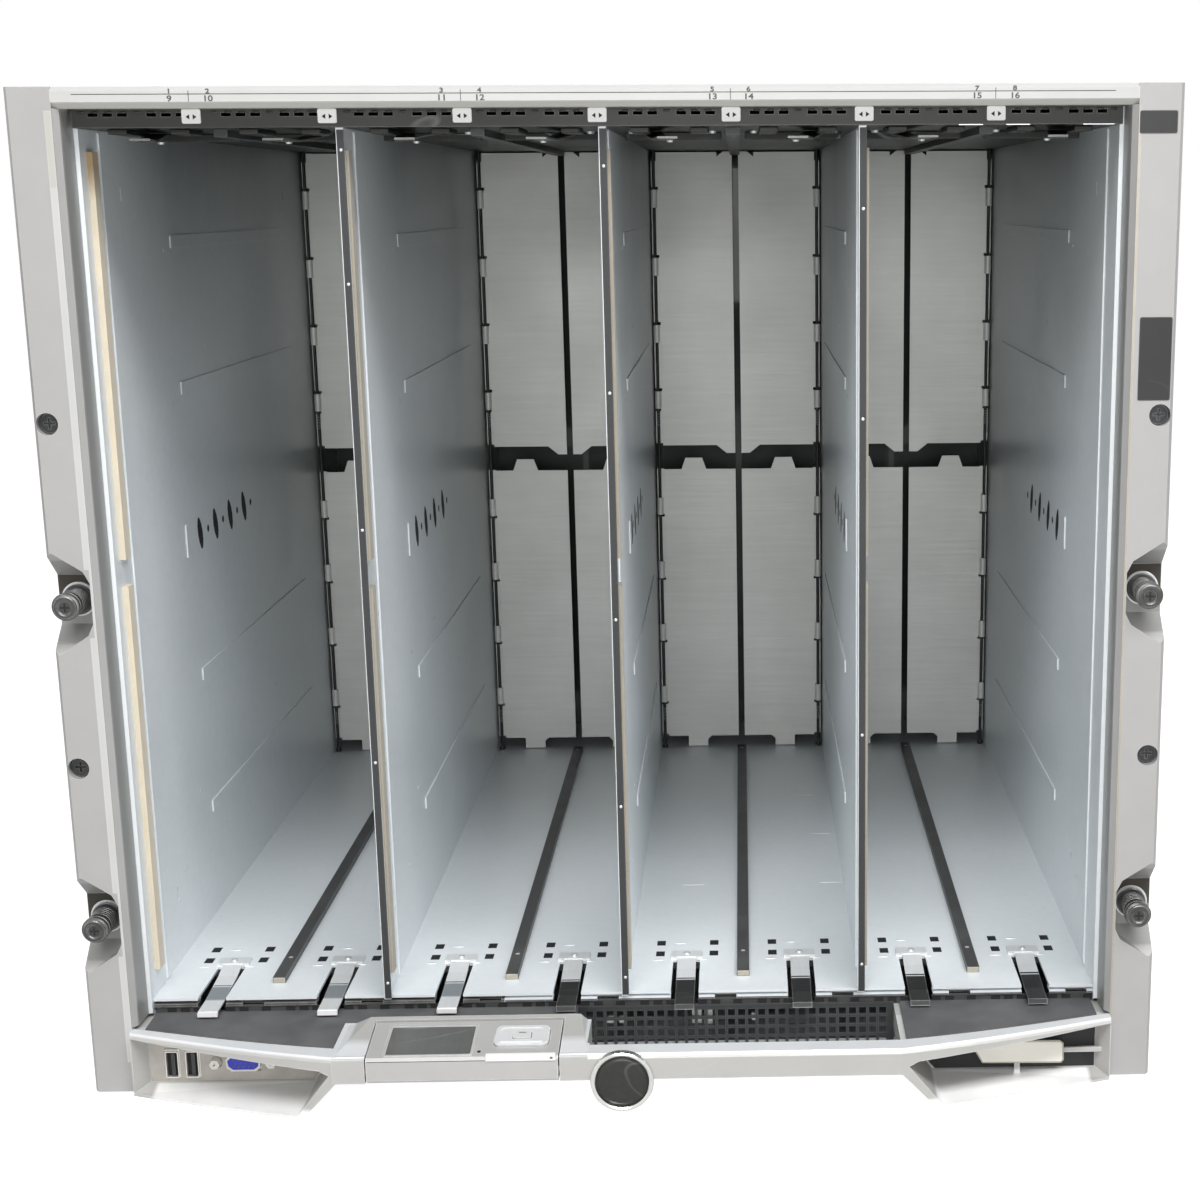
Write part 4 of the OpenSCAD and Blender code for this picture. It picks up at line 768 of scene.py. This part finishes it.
def makeFlapHems():
    h = flapHems
    near, far = h["y"]
    for k in range(len(columns)):
        side = -1 if k % 2 else 1
        rod = bays["centres"][k // 2] - side * h["side"]
        for row, (low, high, foot) in h["rows"].items():
            edges = [low + h["foot"]]
            for i in range(int((high - low - h["ends"] - h["knuckle"]) / h["pitch"]) + 1):
                start = foot + h["firstKnuckle"] + i * h["pitch"]
                edges += [start - h["clear"], start + h["knuckle"] + h["clear"]]
            edges.append(high - h["foot"])
            left, right = (rod + side * reach for reach in h["lap"])
            strips = [(left, near, a, right, far, b) for a, b in zip(edges[::2], edges[1::2])]
            if row == "upper":
                left, right = (rod + side * reach for reach in h["wide"])
                strips.append((left, near, high - h["fold"], right, far, h["top"]))
            blocks(f"flapHem_{row}_{k + 1}", strips, "flapSheet", "sheet_pale", body=f"flap_{row}_{k + 1}")


makeFlapHems()

# painted shadow: a dark row of small windows under the floor's front edge, and a dark sheet behind the wall slots

lipRow = dict(low=29.9, high=32.6, face=19.3, half=2.1, offsets=(-18.6, -12.5, -6.6, 8.2, 14.4, 24.6),
              rim=0.5, rimTop=0.25, back=19.45)
wallSlotShade = dict(x=(218.95, 219.7), y=(140, 268), z=(214, 250))


def darkSpaces():
    r, s = lipRow, wallSlotShade
    middles = [x + dx for x in columns for dx in r["offsets"]]
    reach = r["half"] + r["rim"]
    blocks("lipWindowShadows", [(x - r["half"], r["face"], r["low"], x + r["half"], r["back"], r["high"]) for x in middles],
           "slotShadow", "black_plastic")
    blocks("lipRims", [(x - reach, r["face"] - 0.1, r["high"], x + reach, r["back"] + 0.01,
                        r["high"] + r["rimTop"])
                       for x in middles], "railPlastic", "black_plastic")
    (x0, y0, z0), (x1, y1, z1) = zip(s["x"], s["y"], s["z"])
    blocks("wallSlotShade", [(side * x0, y0, z0, side * x1, y1, z1) for side in (-1, 1)], "slotShadow", "black_steel")


darkSpaces()

# ceiling: sprung arms over each column, painted highlights along the flange's lower edge, cross bars

ceilingBits = dict(armHalf=4.2, armThick=0.8, arm=((12, 4.2), (34, 4.4), (58, 2.2), (74, 0.2)), lean=9, leanOver=62,
                   bars=((-22, 92, 22, 97, 3.4), (-16, 22, -8, 58, 2.2), (9, 26, 17, 50, 2.2)),
                   glintSpans=((200.8, 214), (148.9, 158.9), (168.6, 178.6)), glintY=(9.9, 10.6), glintZ=(423.8, 424.15),
                   bump=(1.6, 0.55, 0.55), bumpStep=5.7, bumpZ=430.2, labelHalf=6.2,
                   screws=((-18, 80, 0, (1.8, 1.8, 1.0)), (18, 80, 0, (1.8, 1.8, 1.0))),
                   armScrew=(0, 44, 4.9, (1.5, 1.5, 0.8)))


def ceilingPieces():
    c, top = ceilingBits, bays["ceiling"]
    arms = bmesh.new()
    for k, x in enumerate(columns):
        lean = c["lean"] * (1 if k % 2 else -1)
        for ends in zip(c["arm"], c["arm"][1:]):
            low = []
            for (y, drop), order in zip(ends, ((-1, 1), (1, -1))):
                middle = x + lean * (y - 12) / c["leanOver"]
                low += [(middle + s * c["armHalf"], y, top - drop - c["armThick"]) for s in order]
            join(arms, [low, [(px, py, pz + c["armThick"]) for px, py, pz in low]])
    finishPiece("ceilingArms", arms, "armSteel", "sheet_pale")
    blocks("ceilingBars", [(x + x0, y0, top - drop, x + x1, y1, top - 0.01) for x in columns
                           for x0, y0, x1, y1, drop in c["bars"]], "ceilingSteel", "black_steel", soften=0.5)
    # bright strips at three spots: painted highlights on the flange's lower edge
    (near, away), (low, high) = c["glintY"], c["glintZ"]
    blocks("flangeGlints", [(left, near, low, right, away, high) for left, right in c["glintSpans"]], "brightSteel",
           "sheet_pale")
    middles = [x + i * c["bumpStep"] for x in columns for i in range(-4, 5)]
    bumps = [((x, 10.0, c["bumpZ"]), front, c["bump"]) for x in middles
             if min(abs(x - label) for label in arrowLabels["x"]) > c["labelHalf"]]
    scatter("flangeBumps", "rivet", bumps, "ceilingSteel", "black_steel")
    heads = [((x + dx, y, top - drop), down, size) for screws in (c["screws"], (c["armScrew"],)) for x in columns
             for dx, y, drop, size in screws]
    scatter("ceilingScrews", "screw", heads, "brightSteel", "sheet_pale")


ceilingPieces()
print("bay pieces made")

# ears: bare plates, painted highlight along the left one's reveal edge and painted shade along the right one's

earPlates = dict(plates=((222.7, 238.5, 419.8, 429.0), (225.5, 239.4, 309.9, 344.9)), thick=0.22, corner=0.8)
earEdgeLighting = dict(left=(-225.4, -222.35), right=(222.35, 223.4), low=14.5, high=430.6, thick=0.1, neck=1.05,
                pockets=(80.3, 226.35), reach=15)


def earPieces():
    bm = bmesh.new()
    for edges in earPlates["plates"]:
        prism(bm, rounded(*edges, earPlates["corner"]), "y", -earPlates["thick"], 0.02)
    finishPiece("earPlates", bm, "labelBlack", "bezel_silver", soften=0.06)
    e = earEdgeLighting
    for name, finish in (("left", "headerMoulding"), ("right", "plateRim")):
        a, b = e[name]
        slim = (b - e["neck"], b) if name == "left" else (a, a + e["neck"])
        levels = [e["low"], *(z + s * e["reach"] for z in e["pockets"] for s in (-1, 1)), e["high"]]
        strips = [(*(slim if i % 2 else (a, b)), *pair) for i, pair in enumerate(zip(levels, levels[1:]))]
        blocks(name + "EarEdgeLighting", [(x0, -e["thick"], z0, x1, 0.03, z1) for x0, x1, z0, z1 in strips],
               finish, "bezel_silver")


earPieces()

# round badge with a bare dark face; profiles are (radius, depth)

badge = dict(centre=(1.0, 18.35),
             ring=((0, -36), (13.6, -36), (14, -36.6), (14, -38.2), (13.75, -39.4), (13.2, -39.85), (12.6, -39.9),
                   (12, -39.4), (11.9, -38), (0, -38)),
             face=((0, -37.9), (11.84, -37.9), (11.8, -38.55), (9.4, -38.85), (5.95, -39.05), (0, -39.1)))


def makeBadge():
    ring = shaped("badgeRing", turned, "badgeRing", "chrome_ring", badge["ring"], badge["centre"], 96)
    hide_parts("round_badge")
    shaped("badgeFace", turned, "badgeFace", "chrome_ring", badge["face"], badge["centre"], 72, smooth=True)


makeBadge()

# name plate in the right recess, left bare, with its stem and bar

plate = dict(outline=((157.4, 18.9), (199.6, 18.4), (201.2, 17.2), (201.5, 8.7), (200.2, 7.3), (163.8, 7.7)),
             face=-2.0, back=-0.6, rim=0.8, skin=(-0.12, 0.02), stemSink=0.25,
             stem=((178.4, 2.3), (181.5, 2.3), (181.1, 9), (178.8, 9)),
             bar=(200.8, -0.9, 12.0, 218.9, 1.0, 14.4))


def inset(outline, by):  # each corner moves in along its two edges' mean; the outline runs clockwise
    result = []
    for i, (x, z) in enumerate(outline):
        nx = nz = 0.0
        for (ax, az), (bx, bz) in ((outline[i - 1], (x, z)), ((x, z), outline[(i + 1) % len(outline)])):
            length = math.hypot(bx - ax, bz - az)
            nx, nz = nx + (bz - az) / length, nz - (bx - ax) / length
        scale = 2 * by / (nx * nx + nz * nz)
        result.append((x + nx * scale, z + nz * scale))
    return result


def makePlate():
    face, back = plate["face"], plate["back"]
    skin = [face + step for step in plate["skin"]]
    shaped("plateRim", prism, "plateRim", "bezel_silver", plate["outline"], "y", face, back, soften=0.3)
    shaped("plateFace", prism, "plateCream", "bezel_silver", inset(plate["outline"], plate["rim"]), "y",
           *skin, soften=0.08)
    stem = bmesh.new()
    prism(stem, plate["stem"], "y", face + plate["stemSink"], back)
    brick(stem, plate["bar"][:3], plate["bar"][3:])
    finishPiece("plateStem", stem, "bezelMoulding", "bezel_silver", soften=0.3)


makePlate()

# display: glass, lamp, ledge in white as a painted highlight, and groove on the tilting panel; rim and facets on the
# pad

display = dict(slope=5 / 36, topAtFront=29.5, frontY=-36.0, glass=(-102.8, -65.6, -33.4, -9.9, 0.8),
               glassSides=(-0.7, 0.2), border=(-104.1, -64.3, -34.4, -7.7, 1.4), frameSides=(-0.5, 0.55),
               ledge=((-36.75, 27.9), (-34.4, 27.9), (-34.4, 31.0), (-36.25, 30.9)), ledgeX=(-58.6, -28.0),
               groove=((-110.6, -36.24, 28.05, -58.9, -36.1, 28.35), (-30.4, -36.81, 28.9, -29.2, -36.7, 29.7)),
               lamp=(-62, -31.0), lampFacing=(0, -0.14, 0.99), lampSize=(0.9, 0.9, 0.45))
navPad = dict(outer=(-55.7, -32.3, -27.2, -11.8, 2.7), inner=(-53.6, -34.4, -24.9, -13.7, 2.0), rimSides=(0.9, 1.5),
              ridgeY=-27.5, ridge=((0.1, -0.1), (2.2, -0.1), (2.2, 2.0), (0.9, 1.7)), ridgeX=(-53.4, -34.6),
              mark=(-45.7, -42.3, -19.0, -17.8, 0.5, 4), markSides=(1.3, 1.7))


def slopeTop(y):
    return display["topAtFront"] + display["slope"] * (y - display["frontY"])


def onSlope(outline, lift):
    return [(x, y, slopeTop(y) + lift) for x, y in outline]


def lidSlab(bm, outline, below, above):  # a flat piece that lies along the housing's slope
    join(bm, [onSlope(outline, below), onSlope(outline, above)])


def lidRing(bm, outer, inner, below, above):  # the same with a hole: the two outlines have as many points
    join(bm, [onSlope(*row) for row in ((outer, below), (outer, above), (inner, above), (inner, below))], ring=True)


def displayPieces():
    d = display
    own = dict(body="lcd_panel")
    opening = rounded(*d["glass"])
    shaped("displayGlass", lidSlab, "displayGlass", "panel_silver", opening, *d["glassSides"], soften=0.1, **own)
    shaped("displayFrame", lidRing, "panelMoulding", "panel_silver", rounded(*d["border"]), opening,
           *d["frameSides"], soften=0.12, **own)
    # the ledge's white is a painted highlight
    shaped("displayLedgeHighlight", prism, "labelWhite", "panel_silver", d["ledge"], "x", *d["ledgeX"], soften=0.3, **own)
    blocks("displayGroove", d["groove"], "markInk", "panel_silver", **own)
    x, y = d["lamp"]
    scatter("displayLamp", "rivet", [((x, y, slopeTop(y)), d["lampFacing"], d["lampSize"])], "slotShadow",
            "panel_silver", **own)


def padPieces():
    p, y = navPad, navPad["ridgeY"]
    shaped("padRim", lidRing, "keyPlastic", "key_pale", rounded(*p["outer"]), rounded(*p["inner"]),
           *p["rimSides"], body="nav_pad", soften=0.2)
    ridge = [(y + dy, slopeTop(y) + dz) for dy, dz in p["ridge"]]
    shaped("padRidge", prism, "labelWhite", "key_pale", ridge, "x", *p["ridgeX"], body="nav_pad", soften=0.25)
    shaped("keyMark", lidSlab, "plateRim", "key_pale", rounded(*p["mark"]), *p["markSides"], body="nav_key",
           soften=0.08)


displayPieces()
padPieces()

# sockets: two upright serial ports, a video socket with its jack nuts, a ring round the power button

sockets = dict(serialX=(-206.3, -197.2), serialZ=11.7, serialHalf=(3.75, 7.3), serialHole=(2.5, 5.9), serialWall=0.55,
               face=2.3, plate=5.0, videoX=-173.8, videoZ=12.2, video=(7.2, 6.4, 2.85), cut=1.6, rim=0.8,
               flange=(15.4, 4.9), nut=12.7, nutSize=(2.9, 2.9, 3.2), dome=(2.3, 2.3, 0.9), pin=(0.5, 0.5, 0.12),
               power=(-145.4, 13.7), powerRing=(4.5, 5.6, 3.4, 4.9), shadeY=(4.3, 4.95), lipStep=0.8,
               tongue=(-0.4, 1.3), tongueY=(2.9, 4.35), tongueInset=0.7, videoFace=1.0, flangeY=4.2,
               insertY=(1.5, 4.3), pinPitch=(2.3, 1.65), pinShift=1.1, pinY=1.5, nutY=2.9, domeY=1.4, nutRise=0.2)


def ringWall(bm, inner, outer, nearY, farY):  # closed ring between two outlines of as many points
    rows = ((inner, farY), (inner, nearY), (outer, nearY), (outer, farY))
    join(bm, [[(x, depth, z) for x, z in line] for line, depth in rows], ring=True)


def socketOutline(grow):
    x, z, cut = sockets["videoX"], sockets["videoZ"], sockets["cut"]
    top, foot, half = (size + grow for size in sockets["video"])
    return [(x + dx, z + dz) for dx, dz in (
        (-top + cut, half), (-top, half - cut), (-foot - 0.3, -half + cut), (-foot + cut, -half),
        (foot - cut, -half), (foot + 0.3, -half + cut), (top, half - cut), (top - cut, half))]


def socketPieces():
    s = sockets
    shells, dark, tongues = bmesh.new(), bmesh.new(), bmesh.new()
    halfX, halfZ = s["serialHalf"]
    holeX, holeZ = s["serialHole"]
    wall, z, deep = s["serialWall"], s["serialZ"], s["plate"]
    for x in s["serialX"]:
        hole, lip, edge = (rounded(x - dx, x + dx, z - dz, z + dz, corner, 2) for dx, dz, corner in (
            (holeX, holeZ, 0.4), (holeX + wall, holeZ + wall, 0.6), (halfX, halfZ, 0.8)))
        ringWall(shells, hole, lip, s["face"], deep)
        ringWall(shells, lip, edge, s["face"] + s["lipStep"], deep)
        (near, far), tall = s["shadeY"], holeZ
        brick(dark, (x - holeX, near, z - tall), (x + holeX, far, z + tall))
        (left, right), (near, far), tall = s["tongue"], s["tongueY"], holeZ - s["tongueInset"]
        brick(tongues, (x + left, near, z - tall), (x + right, far, z + tall))
    x, z = s["videoX"], s["videoZ"]
    wide, tall = s["flange"]
    ringWall(shells, socketOutline(0.05), socketOutline(s["rim"]), s["videoFace"], deep)
    brick(shells, (x - wide, s["flangeY"], z - tall), (x + wide, deep, z + tall))
    r0, r1, near, far = s["powerRing"]
    turned(dark, [(r0, near), (r1, near), (r1, far), (r0, far), (r0, near)], s["power"])
    shell = finishPiece("socketShells", shells, "socketSteel", "socket_metal", soften=0.12)
    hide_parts("port_sockets")
    finishPiece("socketShade", dark, "slotShadow", "black_plastic")
    finishPiece("serialTongues", tongues, "railPlastic", "black_plastic", soften=0.15)
    shaped("videoInsert", prism, "videoBlue", "video_blue", socketOutline(0.0), "y", *s["insertY"])
    across, tall = s["pinPitch"]
    pins = [((x + i * across + (0 if row else s["pinShift"]), s["pinY"], z + row * tall), front, s["pin"])
            for row in (-1, 0, 1) for i in range(-2, 3)]
    scatter("videoPins", "rivet", pins, "displayGlass", "video_blue")
    nuts, domes = ([((x + side * s["nut"], y, z + s["nutRise"]), front, size) for side in (-1, 1)]
                   for y, size in ((s["nutY"], s["nutSize"]), (s["domeY"], s["dome"])))
    scatter("jackNuts", "screw", nuts, "socketSteel", "socket_metal", Segments=6, **{"Slot Reach": 0.0})
    scatter("jackDomes", "rivet", domes, "labelWhite", "socket_metal", Segments=20)


socketPieces()
print("front pieces made")

# captive screws: shaded pocket, bright washer, stepped head with rings and a cross of painted shadow; profiles are
# (radius, depth)

captive = dict(x=232.55, z=(80.3, 226.35), top=-8.1, arm=1.9, slot=0.42, cross=(0.42, 0.43, 0.6),
               ring=(5.35, 5.35, 12.0), ringY=8.6,
               head=((0, 0.5), (2.9, 0.5), (3.2, 0.2), (3.5, 0), (4.6, 0), (5.0, 0.3), (5.05, 1.3), (5.75, 1.5),
                     (5.95, 1.8), (5.95, 3.2), (5.6, 3.5), (5.3, 3.6), (5.3, 4.6), (5.7, 4.8), (5.7, 5.9),
                     (5.3, 6.2), (0, 6.2)),
               collar=((3.4, 10.7), (6.3, 10.7), (6.7, 11.0), (6.7, 11.5), (6.3, 11.7), (3.4, 11.7), (3.4, 10.7)),
               washer=((4.6, 12.2), (7.3, 12.2), (7.6, 12.4), (7.6, 13.05), (4.6, 13.05), (4.6, 12.2)),
               shade=(-7.9, 12.8, -1, 8.5, 13.06, 10.7))


def captiveScrews():
    c, seats, shades = captive, bmesh.new(), bmesh.new()
    top, arm, slot = c["top"], c["arm"], c["slot"]
    level, upright, foot = (top + depth for depth in c["cross"])
    for i in range(4):
        side = -1 if i < 2 else 1
        x, z = c["x"] * side, c["z"][i % 2]
        own = dict(body=f"thumbscrew_{i + 1}")
        shaped(f"headCap_{i + 1}", turned, "gunMetal", "knurled_black", [(r, top + y) for r, y in c["head"]],
               (x, z), 44, **own)
        blocks(f"headCrossShadow_{i + 1}", [(x - arm, level, z - slot, x + arm, foot, z + slot),
                                      (x - slot, upright, z - arm, x + slot, foot, z + arm)],
               "slotShadow", "knurled_black", **own)
        scatter(f"headRings_{i + 1}", "grooves", [((x, c["ringY"], z), front, c["ring"])], "gunMetal",
                "knurled_black", Count=5, Pitch=0.16, Wire=0.06, **own)
        shaped(f"headCollar_{i + 1}", turned, "gunMetal", "knurled_black", c["collar"], (x, z), **own)
        turned(seats, c["washer"], (x, z))
        x0, y0, z0, x1, y1, z1 = c["shade"]
        brick(shades, (x + side * x0, y0, z + z0), (x + side * x1, y1, z + z1))
    finishPiece("screwSeats", seats, "brightSteel", "bezel_silver")
    finishPiece("pocketShades", shades, "pocketShade", "bezel_silver")


captiveScrews()

# hinge springs on the rods, one beside the first knuckle of each flap

springs = dict(axisY=452.92, side=51.22, radius=1.09, length=9.0, heights=(56, 252), wire=0.075, turns=9.0)


def hingeSprings():
    s, coils = springs, []
    for k in range(len(columns)):
        rod = bays["centres"][k // 2] + s["side"] * (1 if k % 2 else -1)
        coils += [((rod, s["axisY"], z), up, (s["radius"],) * 3) for z in s["heights"]]
    scatter("hingeSprings", "coil", coils, "brightSteel", "sheet_pale", Turns=s["turns"],
            Height=s["length"] / s["radius"], Wire=s["wire"] / s["radius"])


hingeSprings()

# rivets along the case, screws and lamps on the rear modules

caseBody = dict(side=221.5, top=439.0, rivet=(2.2, 2.2, 0.8), first=75, pitch=52.0, count=13, edges=(9, 430),
                seams=(-212, -109, 0, 109, 212), posts=(60, 140, 220, 300, 380), postY=(516, 740))
rearBits = dict(fanX=(-178.0, 0.0, 178.0), fanZ=150, fanPitch=95.833, fanScrew=(36.6, 43.4), supplyX=-220,
                supplyPitch=73.333, supplyScrew=(32.4, 104.6), managerX=(-146.6, 0.0, 146.6), fanLampDrop=34,
                supplyLamps=((28, 23, 18), 36), managerLamps=((8, 13), 141),
                heads=((2.3, 2.3, 1.2), (1.9, 1.9, 1.0)), lamps=((1.3, 1.3, 0.7), (1.2, 1.2, 0.6), (1.1, 1.1, 0.6)))


def caseFasteners():
    c = caseBody
    rows = []
    for i in range(c["count"]):
        y = c["first"] + i * c["pitch"]
        rows += [((side * c["side"], y, z), (side, 0, 0), c["rivet"]) for side in (-1, 1) for z in c["edges"]]
        rows += [((x, y, c["top"]), up, c["rivet"]) for x in c["seams"]]
    rows += [((side * c["side"], y, z), (side, 0, 0), c["rivet"]) for z in c["posts"] for side in (-1, 1)
             for y in c["postY"]]
    scatter("caseRivets", "rivet", rows, "outerSheet", "galvanised")


def rearFasteners():
    r = rearBits
    wall = (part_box("fan_frames")[1].y - earFaceY) / mm
    screws, lamps = [], []
    dx, dz = r["fanScrew"]
    for x in r["fanX"]:
        for i in range(3):
            z = r["fanZ"] + (i + 0.5) * r["fanPitch"]
            screws += [((x + sx * dx, wall, z + sz * dz), rear, r["heads"][0]) for sx in (-1, 1) for sz in (-1, 1)]
            lamps.append(((x + dx, wall, z - r["fanLampDrop"]), rear, r["lamps"][0]))
    dx, z = r["supplyScrew"]
    offsets, lampZ = r["supplyLamps"]
    for i in range(6):
        x = r["supplyX"] + (i + 0.5) * r["supplyPitch"]
        screws += [((x + sx * dx, wall, z), rear, r["heads"][1]) for sx in (-1, 1)]
        lamps += [((x + offset, wall, lampZ), rear, r["lamps"][1]) for offset in offsets]
    offsets, lampZ = r["managerLamps"]
    lamps += [((x + offset, wall, lampZ), rear, r["lamps"][2]) for x in r["managerX"] for offset in offsets]
    scatter("rearScrews", "screw", screws, "brightSteel", "module_steel")
    scatter("rearLamps", "rivet", lamps, "lampGreen", "module_steel")


caseFasteners()
rearFasteners()
print("rear pieces made")

# small bright parts that show through the intake grille

behindGrille = dict(y=(21.4, 23.0),
                    spots=((30.4, 34.9, 20.0, 27.5), (36.2, 40.0, 19.6, 27.2), (-9.6, -5.2, 20.6, 24.0),
                           (-3.6, -0.4, 20.6, 24.0), (58.2, 61.4, 21.0, 24.6)))
near, away = behindGrille["y"]
blocks("intakeParts", [(left, near, low, right, away, high) for left, right, low, high in behindGrille["spots"]],
       "labelWhite", "black_steel", soften=0.2)

# room

room = dict(floorSize=80, key=(0.45, -1.95, 2.6), keySize=(3.0, 0.9), keyPower=102, aim=(0, -0.3, 0.2),
            fill=(0.02, -2.4, 0.5), fillSize=(0.9, 0.6), fillPower=10, world=0.13, floorGlow=0.95, floorTone=0.42,
            floorBounce=0.85)


def areaLamp(name, place, size, power):
    lamp = addObject(name, bpy.data.lights.new(name, "AREA"))
    lamp.data.shape = "RECTANGLE"
    lamp.data.size, lamp.data.size_y = size
    lamp.data.energy = power
    lamp.location = place
    lamp.rotation_euler = (Vector(room["aim"]) - lamp.location).to_track_quat("-Z", "Y").to_euler()


def whiteWorld():  # dim as a light, white where it is seen
    world = bpy.data.worlds.new("room")
    bpy.context.scene.world = world
    tree = freshTree(world)
    rays = put(tree, "LightPath").outputs
    seen = calc(tree, "MAXIMUM", rays["Is Glossy Ray"], rays["Is Transmission Ray"])
    seen = calc(tree, "MAXIMUM", rays["Is Camera Ray"], seen)
    strength = calc(tree, "MULTIPLY_ADD", seen, 1.0 - room["world"], room["world"])
    sky = make(tree, "Background", {"Color": (1, 1, 1, 1), "Strength": strength})
    put(tree, "OutputWorld", {"Surface": sky})


def paleFloor():  # the camera sees it near white, with the object's shadow
    mesh = bpy.data.meshes.new("floor")
    edge = room["floorSize"] / 2
    corners = [(x * edge, y * edge, cadBounds[0][2]) for x, y in ((-1, -1), (1, -1), (1, 1), (-1, 1))]
    mesh.from_pydata(corners, [], [(0, 1, 2, 3)])
    floor = addObject("floor", mesh)
    material = bpy.data.materials.new("paleFloor")
    tree = freshTree(material)
    seen = put(tree, "LightPath").outputs["Is Camera Ray"]
    tone = calc(tree, "MULTIPLY_ADD", seen, room["floorTone"] - room["floorBounce"], room["floorBounce"])
    matt = make(tree, "BsdfDiffuse", {"Color": tone})
    white = make(tree, "Emission", {"Strength": calc(tree, "MULTIPLY", seen, room["floorGlow"])})
    put(tree, "OutputMaterial", {"Surface": make(tree, "AddShader", {0: matt, 1: white})})
    mesh.materials.append(material)


whiteWorld()
paleFloor()
areaLamp("keyLamp", room["key"], room["keySize"], room["keyPower"])
areaLamp("fillLamp", room["fill"], room["fillSize"], room["fillPower"])
bpy.context.scene.view_settings.view_transform = "Standard"
print("room lit")
